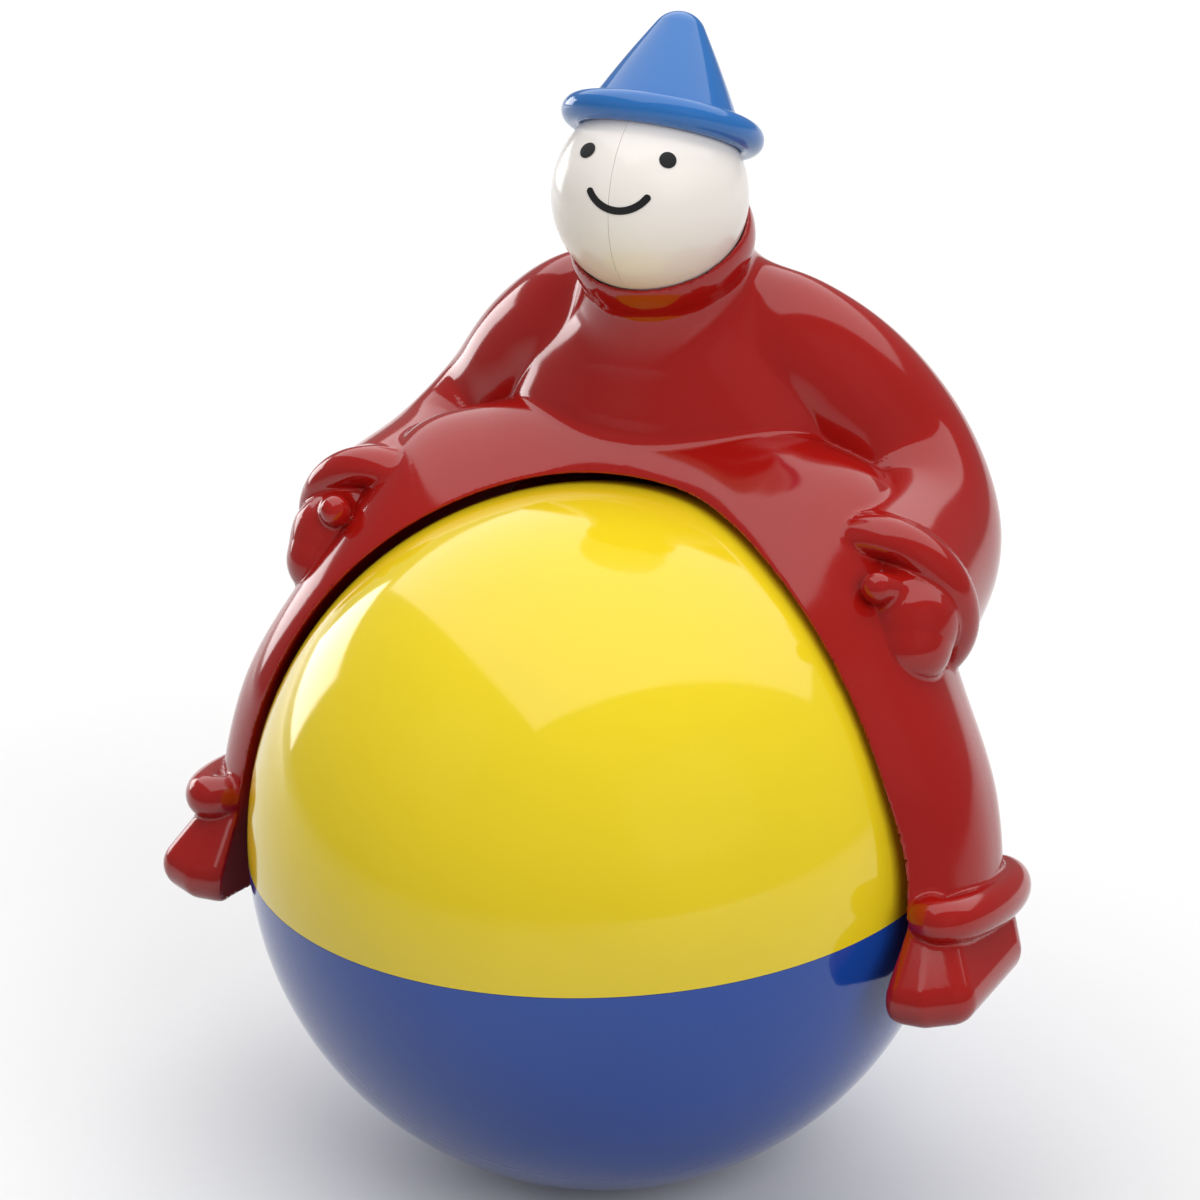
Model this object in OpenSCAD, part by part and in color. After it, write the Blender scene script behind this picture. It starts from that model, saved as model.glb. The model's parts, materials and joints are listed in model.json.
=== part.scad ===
// Roly poly toy: a weighted ball in two colours with a rider astride it.
// Units are millimetres and +Z is up. The rider faces -Y, and +X is the picture's right.
// The origin is the centre of the small flat the ball stands on.
// Rider and head are given as shares of the ball radius in the rider's own upright frame,
// whose origin is the centre of the ball; the whole rider is then tipped back on its ankles.

/* [Ball] */
// Outside radius of the ball
ball_radius = 60; // [40:0.5:90]
// Radius of the flat the ball stands on
flat_radius = 8; // [3:0.5:15]
// Wall of both ball shells
ball_wall = 3; // [1.5:0.1:5]
// Height of the lap ring that centres the upper shell on the lower one
lap_height = 4; // [2:0.5:8]
// Wall of the lap ring
lap_wall = 1.5; // [0.8:0.1:3]
// Clearance round the lap ring
lap_gap = 0.05; // [0.02:0.01:0.3]

/* [Ballast] */
// Height of the cast weight in the bottom of the ball
ballast_height = 14; // [6:0.5:30]
// Clearance between the weight and the shell round it
ballast_gap = 0.4; // [0.1:0.05:1]
// Thickness of the pad under the weight
pad_height = 1.6; // [0.5:0.1:4]
// Radius of the pad under the weight
pad_radius = 16; // [8:0.5:30]
// Radius of the post that locates the weight
post_radius = 6; // [3:0.5:12]
// Drop of the post below the top of the weight
post_drop = 1; // [0.5:0.1:3]
// Clearance between the post and the weight
post_gap = 0.3; // [0.1:0.05:1]
// Radius of the washer that clamps the weight
washer_radius = 13; // [8:0.5:20]
// Thickness of the washer
washer_height = 1.6; // [0.8:0.1:3]
// Radius of the screw shank
screw_radius = 2; // [1:0.1:4]
// Length of the screw below its head
screw_length = 14; // [8:0.5:24]
// Radius of the screw head
screw_head_radius = 4; // [2:0.1:8]
// Height of the screw head
screw_head_height = 2.6; // [1:0.1:5]
// Width of the cross recess in the screw head
recess_width = 1.1; // [0.5:0.1:2]
// Length of the cross recess in the screw head
recess_length = 4.6; // [2:0.1:7]
// Depth of the cross recess in the screw head
recess_depth = 1.4; // [0.5:0.1:3]
// Clearance round the screw
screw_gap = 0.03; // [0.01:0.01:0.2]

/* [Ankle pivots] */
// Radius of the ankle pins
pin_radius = 3.5; // [2:0.1:6]
// Running clearance between pin and bush
pin_gap = 0.05; // [0.01:0.01:0.1]
// Outside radius of the bushes
bush_radius = 7; // [5:0.1:10]
// Radius of the bush flanges
bush_flange_radius = 9; // [6:0.1:13]
// Thickness of the bush flanges
bush_flange_height = 2; // [1:0.1:4]
// Distance of the flange from the ball's surface
bush_flange_depth = 7; // [4:0.1:12]
// Drop of the bush's outer end below the ball's surface
bush_drop = 0.8; // [0.3:0.1:2]
// Radius of the bosses round the bushes
bush_boss_radius = 11.5; // [8:0.1:16]
// Depth of the bosses below the ball's surface
bush_boss_depth = 9.5; // [6:0.1:14]
// Clearance between a bush and its seat
seat_gap = 0.02; // [0.01:0.01:0.1]
// Length of the pin inside the ball
pin_inside = 9; // [4:0.5:16]
// Length of the pin outside the ball
pin_outside = 8; // [6:0.1:16]
// Radius of the bosses in the legs
leg_boss_radius = 6.4; // [4:0.1:10]
// Distance of the leg bosses from the ball's surface
leg_boss_gap = 3.2; // [1:0.1:6]

/* [Rider stance] */
// Angle the rider is tipped back on its ankles in the stored pose
rider_tip_angle = 30; // [-60:1:60]
// Wall of the rider shells
rider_wall = 1.8; // [1:0.1:3]
// Room between the rider and the top of the ball, as a share of the ball radius
room_share = 0.03; // [0.01:0.005:0.1]
// Extra room at the ankles, as a share of the ball radius
ankle_room_share = 0.06; // [0:0.005:0.1]
// Drops below the ball's centre between which the extra room is full, as shares of the ball radius
room_drop_shares = [0.1, 0.6]; // [0:0.05:1]

/* [Rider legs] */
// Angle round the ball, outer radius, front edge and back edge at the crotch, radii and edges as shares
leg_crotch_shares = [0, 1.1, 0.268, 0.27]; // [0:0.005:180]
// The same inside the thigh
leg_groin_shares = [12, 1.15, 0.29, 0.27]; // [0:0.005:180]
// The same on the thigh
leg_thigh_shares = [23, 1.265, 0.37, 0.26]; // [0:0.005:180]
// The same at the knee
leg_knee_shares = [34, 1.295, 0.425, 0.25]; // [0:0.005:180]
// The same below the knee
leg_calf_shares = [46, 1.185, 0.44, 0.24]; // [0:0.005:180]
// The same halfway down the shin
leg_shin_shares = [60, 1.135, 0.425, 0.24]; // [0:0.005:180]
// The same low on the shin
leg_low_shares = [76, 1.145, 0.365, 0.265]; // [0:0.005:180]
// The same at the ankle
leg_ankle_shares = [90, 1.17, 0.275, 0.27]; // [0:0.005:180]
// The same inside the cuff
leg_end_shares = [99, 1.19, 0.25, 0.245]; // [0:0.005:180]
// Radius of the front and back edges of the legs, as a share of the ball radius
leg_edge_share = 1.0; // [0.9:0.005:1.1]
// Fullness of the leg section, smaller is fuller
leg_fullness_share = 0.72; // [0.4:0.01:1]
// Radius where the leg forms start inside the ball, as a share of the ball radius
leg_base_share = 0.93; // [0.8:0.01:1]

/* [Rider torso] */
// Fore-aft place, height, half width and half depth at the seat, as shares
torso_seat_shares = [0.06, 0.9, 0.5, 0.26]; // [-3:0.005:3]
// The same at the waist
torso_waist_shares = [0.085, 1.1, 0.535, 0.31]; // [-3:0.005:3]
// The same at the belly
torso_belly_shares = [0.07, 1.2, 0.525, 0.37]; // [-3:0.005:3]
// The same at the chest
torso_chest_shares = [0.05, 1.33, 0.505, 0.385]; // [-3:0.005:3]
// The same at the shoulders
torso_shoulder_shares = [-0.045, 1.445, 0.41, 0.345]; // [-3:0.005:3]
// The same at the base of the neck
torso_neck_shares = [-0.15, 1.53, 0.275, 0.285]; // [-3:0.005:3]
// The same at the collar
torso_collar_shares = [-0.215, 1.572, 0.225, 0.228]; // [-3:0.005:3]
// The same at the rim
torso_rim_shares = [-0.255, 1.602, 0.2, 0.2]; // [-3:0.005:3]
// Forward tip of the section at the seat, waist, belly and chest
torso_low_angles = [0, 0, 4, 12]; // [-90:1:90]
// Forward tip of the section at the shoulders, neck, collar and rim
torso_high_angles = [30, 46, 54, 55]; // [-90:1:90]

/* [Rider arms] */
// Place and girth at the root of the arm, as shares
arm_root_shares = [0.14, -0.08, 1.49, 0.17]; // [-3:0.005:3]
// The same at the shoulder
arm_shoulder_shares = [0.3, -0.055, 1.445, 0.205]; // [-3:0.005:3]
// The same on the upper arm
arm_upper_shares = [0.46, 0.065, 1.34, 0.23]; // [-3:0.005:3]
// The same at the elbow
arm_elbow_shares = [0.595, 0.19, 1.175, 0.243]; // [-3:0.005:3]
// The same on the forearm
arm_fore_shares = [0.715, 0.14, 0.97, 0.25]; // [-3:0.005:3]
// The same at the hem of the sleeve
arm_hem_shares = [0.765, -0.125, 0.748, 0.258]; // [-3:0.005:3]
// Direction that stays uppermost along the arm
arm_outward_share = [0.7, 0, 0.7]; // [-1:0.05:1]
// Fore-aft girth of the arm at its root, as a share of its girth
arm_root_flat_share = 0.85; // [0.5:0.05:1.5]
// Fore-aft girth of the arm at the hem, as a share of its girth
arm_hem_flat_share = 1.06; // [0.5:0.01:1.5]
// Girth of the rolled lip of the sleeve, as a share of the ball radius
lip_share = 0.042; // [0.01:0.005:0.1]
// Depth of the sleeve's mouth, in steps along the arm
mouth_depth_share = 0.75; // [0.2:0.05:1.5]
// Wall left behind the sleeve's mouth, in steps along the arm
mouth_wall_share = 0.2; // [0.1:0.05:0.5]

/* [Rider hands] */
// Place and girth of the wrist, as shares
wrist_shares = [0.83, -0.12, 0.84, 0.1]; // [-3:0.005:3]
// Place and girth of the back of the hand
palm_shares = [0.88, -0.215, 0.7, 0.128]; // [-3:0.005:3]
// Place and girth of the finger tips
finger_shares = [0.895, -0.235, 0.635, 0.112]; // [-3:0.005:3]
// Place and girth of the root of the thumb
thumb_root_shares = [0.85, -0.27, 0.76, 0.05]; // [-3:0.005:3]
// Place and girth of the tip of the thumb
thumb_tip_shares = [0.835, -0.35, 0.71, 0.052]; // [-3:0.005:3]

/* [Rider feet] */
// Place of the cuff's centre, as shares
cuff_shares = [1.115, 0, -0.01]; // [-3:0.005:3]
// Half width across and fore-aft of the cuff's middle line, as shares
cuff_spread_shares = [0.07, 0.215]; // [0:0.005:1]
// Girth of the cuff, as a share of the ball radius
cuff_girth_share = 0.064; // [0.02:0.002:0.1]
// Angle the cuff rises towards the back
cuff_tip_angle = 20; // [-45:1:45]
// Place and girth of the top of the foot at the front, as shares
instep_shares = [1.075, -0.17, -0.09, 0.05]; // [-3:0.005:3]
// The same at the back
heel_shares = [1.155, 0.13, -0.07, 0.055]; // [-3:0.005:3]
// The same at the toe
toe_shares = [1.2, -0.21, -0.335, 0.05]; // [-3:0.005:3]
// The same under the toe
sole_shares = [1.11, -0.235, -0.355, 0.045]; // [-3:0.005:3]
// The same under the heel
heel_sole_shares = [1.12, 0.08, -0.11, 0.05]; // [-3:0.005:3]
// Inner face of the foot across the rider, as a share
foot_inner_share = 1.06; // [0.5:0.005:2]
// How far the hollow of the foot runs on towards the ball, as a share
foot_open_share = 0.13; // [0.05:0.01:0.3]

/* [Neck] */
// Forward tip of the neck in the rider's frame
neck_tip_angle = 55; // [0:1:90]
// Distance of the collar's middle line from the centre of the head, as a share
collar_drop_share = 0.25; // [0.1:0.005:0.4]
// Radius of the collar's middle line, as a share
collar_radius_share = 0.2; // [0.1:0.005:0.5]
// Girth of the rolled collar, as a share
collar_girth_share = 0.041; // [0.01:0.002:0.1]
// Clearance between the head and the cup of the collar
head_gap = 0.6; // [0.3:0.05:2]
// Radius of the neck stud
stud_radius = 3.5; // [2:0.1:6]
// Radius of the flange that keeps the stud in
stud_flange_radius = 5.4; // [3:0.1:9]
// Thickness of the flange that keeps the stud in
stud_flange_height = 1.6; // [0.8:0.1:3]
// Free room on each side of the neck bush
stud_play = 0.3; // [0.1:0.05:1]
// Reach of the stud into the head
stud_reach = 9; // [5:0.5:14]
// Radius of the groove in the stud
groove_radius = 2.4; // [1:0.1:5]
// Width of the groove in the stud
groove_width = 2; // [1:0.1:4]
// Distance of the groove from the top of the stud
groove_drop = 2; // [1:0.1:5]
// Outside radius of the neck bush
neck_bush_radius = 5.6; // [4:0.1:9]
// Radius of the neck bush's flange
neck_flange_radius = 7; // [5:0.1:11]
// Thickness of the neck bush's flange
neck_flange_height = 1.6; // [0.8:0.1:3]
// Length of the neck bush
neck_bush_height = 5; // [3:0.1:10]
// Drop of the neck bush below the cup of the collar
neck_bush_drop = 0.3; // [0.1:0.05:1]
// Radius of the boss round the neck bush
neck_boss_radius = 9; // [6:0.1:14]

/* [Head] */
// Fore-aft place and height of the centre of the head, as shares
head_shares = [-0.466, 1.747]; // [-3:0.005:3]
// Radius of the head, as a share of the ball radius
head_share = 0.275; // [0.1:0.005:0.5]
// Wall of the head
head_wall = 2; // [1:0.1:4]
// Radius of the boss that grips the neck stud
grip_radius = 6; // [4:0.1:10]
// Clearance between the stud and its grip
grip_gap = 0.02; // [0.01:0.01:0.1]
// Turn of the printed face round the head
face_turn_angle = 5; // [-30:0.5:30]
// Thickness of the printed ink
ink = 0.12; // [0.05:0.01:0.3]
// Radius of an eye, as a share of the head radius
eye_share = 0.086; // [0.03:0.002:0.2]
// Angle of each eye from the middle of the face
eye_spread_angle = 25.7; // [5:0.1:60]
// Angle of the eyes above the middle of the head
eye_rise_angle = 12.7; // [-30:0.1:60]
// Half width of the mouth, as a share of the head radius
mouth_half_share = 0.3; // [0.1:0.01:0.6]
// Dip of the mouth below its ends, as a share of the head radius
mouth_dip_share = 0.165; // [0.05:0.005:0.4]
// Height of the mouth's ends below the middle of the head, as a share of the head radius
mouth_drop_share = 0.19; // [0:0.005:0.6]
// Half thickness of the mouth's stroke, as a share of the head radius
stroke_share = 0.035; // [0.01:0.001:0.1]

/* [Hat] */
// Height of the brim above the centre of the head, as a share of the ball radius
brim_rise_share = 0.19; // [0.05:0.005:0.3]
// Radius of the brim's middle line, as a share of the ball radius
brim_radius_share = 0.243; // [0.1:0.002:0.4]
// Girth of the rolled brim, as a share of the ball radius
brim_girth_share = 0.0425; // [0.01:0.0005:0.1]
// Radius of the cone where it meets the brim, as a share of the ball radius
cone_base_share = 0.232; // [0.1:0.005:0.3]
// Height of the tip above the centre of the head, as a share of the ball radius
cone_tip_share = 0.53; // [0.3:0.005:1]
// Radius of the rounded tip, as a share of the ball radius
cone_round_share = 0.08; // [0.02:0.002:0.2]
// Bow of the cone's flank, as a share of the ball radius
cone_bow_share = 0.012; // [0:0.002:0.05]
// Wall of the hat
hat_wall = 1.8; // [1:0.1:4]
// Radius of the peg that holds the hat
hat_peg_radius = 4.5; // [2:0.1:8]
// Depth of the peg in the head
hat_peg_depth = 5; // [2:0.1:10]

/* [Seam pegs] */
// Radius of the pegs across the rider's seam
peg_radius = 1.6; // [0.8:0.1:3]
// Reach of each peg into each half
peg_reach = 6; // [3:0.5:12]
// Radius of the bosses round the pegs
peg_boss_radius = 3.6; // [2:0.1:6]
// Clearance between a peg and its hole
peg_gap = 0.03; // [0.01:0.01:0.2]
// Place and height of the point that the webs of the bosses run away from, as shares
peg_middle_shares = [0.05, 1.3]; // [-3:0.005:3]
// Reach of the web from each boss out to the wall, as a share
peg_web_share = 0.12; // [0:0.01:0.5]
// Fore-aft place and height of the chest peg, as shares
chest_peg_shares = [-0.265, 1.26]; // [-3:0.005:3]
// Fore-aft place and height of the back peg, as shares
back_peg_shares = [0.385, 1.38]; // [-3:0.005:3]
// Fore-aft place and height of the nape peg, as shares
nape_peg_shares = [0.1, 1.6]; // [-3:0.005:3]

/* [Fineness] */
// Overrun of cutting tools past the faces they cut
overrun = 1; // [0.5:0.1:3]
// Facets of round exact pieces
fine = 96; // [24:4:160]
// Facets of bosses, holes and cups in the rider's shells
plain = 24; // [12:2:48]
// Facets of the rolled edges on the rider
coarse = 16; // [12:2:40]
// Points round each section of the rider's forms
loop_points = 28; // [12:4:80]
// Sections per step along the rider's forms
loft_steps = 3; // [2:1:8]
// Pieces in the rolled rings
ring_pieces = 18; // [12:2:60]

/* [Hidden] */
yellow = [0.94, 0.86, 0.19];
blue = [0.2, 0.33, 0.6];
sky = [0.25, 0.47, 0.75];
red = [0.74, 0.12, 0.11];
ivory = [0.95, 0.92, 0.89];
black = [0.1, 0.1, 0.11];
iron = [0.3, 0.3, 0.31];
steel = [0.7, 0.71, 0.72];
acetal = [0.88, 0.88, 0.86];
ball_height = sqrt(pow(ball_radius, 2) - pow(flat_radius, 2));
ball_inside = ball_radius - ball_wall;
boss_end = sqrt(pow(ball_inside, 2) - pow(bush_boss_radius, 2)) + ball_wall / 2;
lap_radius = sqrt(pow(ball_inside, 2) - pow(lap_height, 2)) - lap_gap;
reach = 3 * ball_radius;
ballast_floor = -sqrt(pow(ball_inside, 2) - pow(pad_radius, 2)) + pad_height;
ballast_top = ballast_floor + ballast_height;
head_radius = head_share * ball_radius;
head_place = ball_radius * [0, head_shares[0], head_shares[1]];
cup_radius = head_radius + head_gap;
bush_top = -cup_radius - neck_bush_drop;
bush_foot = bush_top - neck_bush_height;
mouth_radius = (pow(mouth_half_share, 2) + pow(mouth_dip_share, 2)) / (2 * mouth_dip_share);
leg_rows = [leg_crotch_shares, leg_groin_shares, leg_thigh_shares, leg_knee_shares, leg_calf_shares, leg_shin_shares, leg_low_shares, leg_ankle_shares, leg_end_shares];
torso_rows = [
    torso_seat_shares, torso_waist_shares, torso_belly_shares, torso_chest_shares,
    torso_shoulder_shares, torso_neck_shares, torso_collar_shares, torso_rim_shares
];
torso_angles = concat(torso_low_angles, torso_high_angles);
arm_rows = [
    arm_root_shares, arm_shoulder_shares, arm_upper_shares, arm_elbow_shares, arm_fore_shares,
    arm_hem_shares
];
arm_last = len(arm_rows) - 1;
nudge_share = 0.01;

// Smooth curve through the rows of a table
function bend(rows, t) =
    let (
        last = len(rows) - 1,
        i = max(0, min(floor(t), last - 1)),
        f = t - i,
        b = rows[i],
        c = rows[i + 1],
        a = i > 0 ? rows[i - 1] : 2 * b - c,
        d = i + 2 <= last ? rows[i + 2] : 2 * c - b
    )
    0.5 * (2 * b + (c - a) * f + (2 * a - 5 * b + 4 * c - d) * f * f + (3 * b - a - 3 * c + d) * f * f * f);

function unit(v) = v / norm(v);

// Corner radius of a faceted hole whose flats clear a pin by the peg clearance
function snug(radius) = (radius + peg_gap) / cos(180 / plain);

// Place in the rider's frame of a row that starts with three shares
function spot(row) = ball_radius * [row[0], row[1], row[2]];

// Sections to be placed along a form between two steps of its table
function stations(from, to) =
    let (pieces = ceil((to - from) * loft_steps))
    [for (i = [0 : pieces]) from + (to - from) * i / pieces];

// Points round a section: the hollow takes half as many as the outside
function loop_count(inset) = inset > 0 ? loop_points / 2 : loop_points;

// Section of a leg: an arched outside on a base inside the ball
function leg_loop(t, inset) =
    let (
        row = bend(leg_rows, t),
        half = (row[2] + row[3]) / 2 * ball_radius - inset,
        shift = (row[3] - row[2]) / 2 * ball_radius,
        edge = leg_edge_share * ball_radius,
        rise = row[1] * ball_radius - inset - edge,
        base = leg_base_share * ball_radius,
        count = loop_count(inset),
        bow = [
            for (j = [0 : count / 2])
                let (a = 360 * j / count)
                [shift - half * cos(a), edge + rise * pow(sin(a), leg_fullness_share)]
        ],
        flat = concat([for (k = [len(bow) - 1 : -1 : 0]) bow[k]], [[shift - half, base], [shift + half, base]])
    )
    [for (p = flat) [p[1] * sin(row[0]), p[0], p[1] * cos(row[0])]];

// Section of the torso: an ellipse tipped forward about the rider's side-to-side axis
function torso_loop(t, inset) =
    let (
        row = bend(torso_rows, t),
        tip = bend(torso_angles, t),
        wide = row[2] * ball_radius - inset,
        deep = row[3] * ball_radius - inset,
        middle = ball_radius * [0, row[0], row[1]],
        count = loop_count(inset)
    )
    [
        for (j = [0 : count - 1])
            let (a = 360 * j / count)
            middle + [wide * cos(a), deep * sin(a) * cos(tip), deep * sin(a) * sin(tip)]
    ];

// Directions along, outward and across the arm at one station
function arm_frame(t) =
    let (
        way = unit(spot(bend(arm_rows, t + nudge_share)) - spot(bend(arm_rows, t - nudge_share))),
        out = unit(arm_outward_share - way * (way * arm_outward_share))
    )
    [way, out, cross(way, out)];

// Fore-aft girth of the arm against its girth at one station
function arm_flat(t) = arm_root_flat_share + (arm_hem_flat_share - arm_root_flat_share) * t / arm_last;

// Section of the arm: an ellipse across its middle line
function arm_loop(t, inset) =
    let (
        row = bend(arm_rows, t),
        frame = arm_frame(t),
        girth = row[3] * ball_radius - inset,
        flat = arm_flat(t),
        count = loop_count(inset)
    )
    [
        for (j = [0 : count - 1])
            let (a = 360 * j / count)
            spot(row) + girth * (cos(a) * frame[1] + flat * sin(a) * frame[2])
    ];

// Solid through a list of sections with the same number of points
module loft(loops) {
    count = len(loops[0]);
    last = len(loops) - 1;
    sides = [
        for (i = [0 : last - 1], j = [0 : count - 1])
            [i * count + j, (i + 1) * count + j, (i + 1) * count + (j + 1) % count, i * count + (j + 1) % count]
    ];
    first_cap = [[for (j = [0 : count - 1]) j]];
    last_cap = [[for (j = [count - 1 : -1 : 0]) last * count + j]];
    polyhedron([for (loop = loops) each loop], concat(first_cap, sides, last_cap), convexity = 8);
}

// Puts a piece made round the ball's centre on its flat
module on_ball() {
    translate([0, 0, ball_height])
        children();
}

// Puts a piece made in the rider's frame in its stored pose
module on_rider() {
    on_ball()
        rotate([-rider_tip_angle, 0, 0])
            children();
}

// Puts a piece made round the head's centre with the neck along Z in the rider's frame
module on_neck() {
    translate(head_place)
        rotate([neck_tip_angle, 0, 0])
            children();
}

// Cylinder along X from one distance to another
module rod(radius, from, to, facets = fine) {
    translate([from, 0, 0])
        rotate([0, 90, 0])
            cylinder(r = radius, h = to - from, $fn = facets);
}

// Half space on the picture's right of the rider's seam
module right_side() {
    translate([0, -reach, -reach])
        cube([2 * reach, 2 * reach, 2 * reach]);
}

// Half bosses inside one shell, above or below the equator, that take the two bushes
module bush_bosses(up) {
    for (side = [0, 180]) {
        rotate([0, 0, side])
            translate([ball_radius - bush_boss_depth, 0, 0])
                rotate([90, 0, 90])
                    linear_extrude(height = boss_end - ball_radius + bush_boss_depth)
                        intersection() {
                            circle(r = bush_boss_radius, $fn = fine);
                            translate([-bush_boss_radius, up ? 0 : -bush_boss_radius])
                                square([2 * bush_boss_radius, bush_boss_radius]);
                        }
    }
}

// Seats of both bushes, shared by the two shells
module bush_seats() {
    for (side = [0, 180]) {
        rotate([0, 0, side]) {
            rod(bush_radius + seat_gap, ball_radius - bush_boss_depth - overrun, ball_radius + overrun);
            rod(
                bush_flange_radius + seat_gap,
                ball_radius - bush_flange_depth - seat_gap,
                ball_radius - bush_flange_depth + bush_flange_height + seat_gap
            );
        }
    }
}

module ball_upper_shell() {
    color(yellow)
        on_ball()
            difference() {
                union() {
                    rotate_extrude($fn = fine)
                        upper_profile();
                    bush_bosses(true);
                }
                bush_seats();
            }
}

module upper_profile() {
    intersection() {
        difference() {
            circle(r = ball_radius, $fn = fine);
            circle(r = ball_inside, $fn = fine);
        }
        square(ball_radius);
    }
}

module ball_lower_shell() {
    color(blue)
        on_ball()
            difference() {
                union() {
                    rotate_extrude($fn = fine)
                        lower_profile();
                    lap_ring();
                    bush_bosses(false);
                }
                bush_seats();
                translate([0, 0, ballast_top + washer_height - screw_length - overrun])
                    cylinder(r = screw_radius + screw_gap, h = screw_length + overrun, $fn = fine);
            }
}

// Wall of the lower shell with its flat, the pad under the weight and the post through it
module lower_profile() {
    intersection() {
        circle(r = ball_radius, $fn = fine);
        union() {
            difference() {
                translate([0, -ball_height])
                    square([ball_radius, ball_height]);
                circle(r = ball_inside, $fn = fine);
            }
            translate([0, -ball_height])
                square([pad_radius, ball_height + ballast_floor]);
            translate([0, -ball_height])
                square([post_radius, ball_height + ballast_top - post_drop]);
        }
    }
}

// Ring inside the upper shell that the lower shell carries, cut away at both bushes
module lap_ring() {
    difference() {
        rotate_extrude($fn = fine) {
            translate([lap_radius - lap_wall, -lap_height])
                square([lap_wall, 2 * lap_height]);
            translate([lap_radius - lap_wall, -lap_height])
                square([lap_wall + ball_wall / 2, lap_height]);
        }
        rod(bush_boss_radius + lap_wall, -ball_radius, ball_radius);
    }
}

module ballast_weight() {
    color(iron)
        on_ball()
            difference() {
                intersection() {
                    sphere(r = ball_inside - ballast_gap, $fn = fine);
                    translate([0, 0, ballast_floor])
                        cylinder(r = ball_radius, h = ballast_height, $fn = fine);
                }
                translate([0, 0, ballast_floor - overrun])
                    cylinder(r = post_radius + post_gap, h = ballast_height + 2 * overrun, $fn = fine);
            }
}

module ballast_washer() {
    color(steel)
        on_ball()
            translate([0, 0, ballast_top])
                difference() {
                    cylinder(r = washer_radius, h = washer_height, $fn = fine);
                    translate([0, 0, -overrun])
                        cylinder(r = screw_radius + post_gap, h = washer_height + 2 * overrun, $fn = fine);
                }
}

module ballast_screw() {
    color(steel)
        on_ball()
            translate([0, 0, ballast_top + washer_height])
                difference() {
                    union() {
                        cylinder(r = screw_head_radius, h = screw_head_height, $fn = fine);
                        translate([0, 0, -screw_length])
                            cylinder(r = screw_radius, h = screw_length, $fn = fine);
                    }
                    for (turn = [0, 90]) {
                        rotate([0, 0, turn])
                            translate([-recess_length / 2, -recess_width / 2, screw_head_height - recess_depth])
                                cube([recess_length, recess_width, recess_depth + overrun]);
                    }
                }
}

// Flanged bush at the picture's right of the ball
module bush() {
    difference() {
        union() {
            rod(bush_radius, ball_radius - bush_boss_depth, ball_radius - bush_drop);
            rod(
                bush_flange_radius,
                ball_radius - bush_flange_depth,
                ball_radius - bush_flange_depth + bush_flange_height
            );
        }
        rod(pin_radius + pin_gap, ball_radius - bush_boss_depth - overrun, ball_radius + overrun);
    }
}

module bush_left() {
    color(acetal)
        on_ball()
            rotate([0, 0, 180])
                bush();
}

module bush_right() {
    color(acetal)
        on_ball()
            bush();
}

// Legs, both sides of the seam at the crotch
module leg_form(inset) {
    loft([for (t = stations(0, len(leg_rows) - 1)) leg_loop(t, inset)]);
}

module torso_form(inset) {
    loft([for (t = stations(0, len(torso_rows) - 1)) torso_loop(t, inset)]);
}

module arm_form(from, to, inset) {
    loft([for (t = stations(from, to)) arm_loop(t, inset)]);
}

// Ball of a row with three shares for its place and one for its girth
module blob(row, inset) {
    translate(spot(row))
        sphere(r = row[3] * ball_radius - inset, $fn = coarse);
}

// Rolled ring through a closed list of places
module rolled_ring(places, girth) {
    count = len(places);
    for (i = [0 : count - 1]) {
        hull() {
            translate(places[i])
                sphere(r = girth, $fn = coarse / 2);
            translate(places[(i + 1) % count])
                sphere(r = girth, $fn = coarse / 2);
        }
    }
}

// Sleeve with its open mouth and rolled lip
module sleeve() {
    hem = arm_frame(arm_last);
    hem_girth = arm_hem_shares[3] * ball_radius;
    lip = lip_share * ball_radius;
    difference() {
        arm_form(0, arm_last, 0);
        arm_form(arm_last - mouth_depth_share, arm_last + nudge_share, lip);
    }
    rolled_ring(
        [
            for (j = [0 : ring_pieces - 1])
                let (a = 360 * j / ring_pieces)
                spot(arm_hem_shares)
                + (hem_girth - lip / 2) * (cos(a) * hem[1] + arm_hem_flat_share * sin(a) * hem[2])
        ],
        lip
    );
}

module hand(inset) {
    hull() {
        blob(wrist_shares, inset);
        blob(palm_shares, inset);
    }
    hull() {
        blob(palm_shares, inset);
        blob(finger_shares, inset);
    }
}

module thumb() {
    hull() {
        blob(thumb_root_shares, 0);
        blob(thumb_tip_shares, 0);
    }
}

module cuff() {
    rolled_ring(
        [
            for (j = [0 : ring_pieces - 1])
                let (a = 360 * j / ring_pieces)
                spot(cuff_shares) + ball_radius * [
                    cuff_spread_shares[0] * cos(a),
                    cuff_spread_shares[1] * sin(a) * cos(cuff_tip_angle),
                    cuff_spread_shares[1] * sin(a) * sin(cuff_tip_angle)
                ]
        ],
        cuff_girth_share * ball_radius
    );
}

// Short boot below the cuff; the inset form runs on towards the ball so that the boot stays open there
module foot(inset) {
    inner = foot_inner_share - (inset > 0 ? foot_open_share : 0);
    hull() {
        for (row = [instep_shares, heel_shares, toe_shares, sole_shares, heel_sole_shares]) {
            blob(row, inset);
            translate(ball_radius * [inner - row[0], 0, 0])
                blob(row, inset);
        }
    }
}

module collar() {
    on_neck()
        translate([0, 0, -collar_drop_share * ball_radius])
            rotate_extrude($fn = 2 * ring_pieces)
                translate([collar_radius_share * ball_radius, 0])
                    circle(r = collar_girth_share * ball_radius, $fn = coarse);
}

// Space below the tipped plane of the cuff, where the leg ends
module below_cuff() {
    translate(ball_radius * [0, cuff_shares[1], cuff_shares[2]])
        rotate([cuff_tip_angle, 0, 0])
            translate(ball_radius * [0, -1, -2])
                cube(2 * ball_radius);
}

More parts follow.
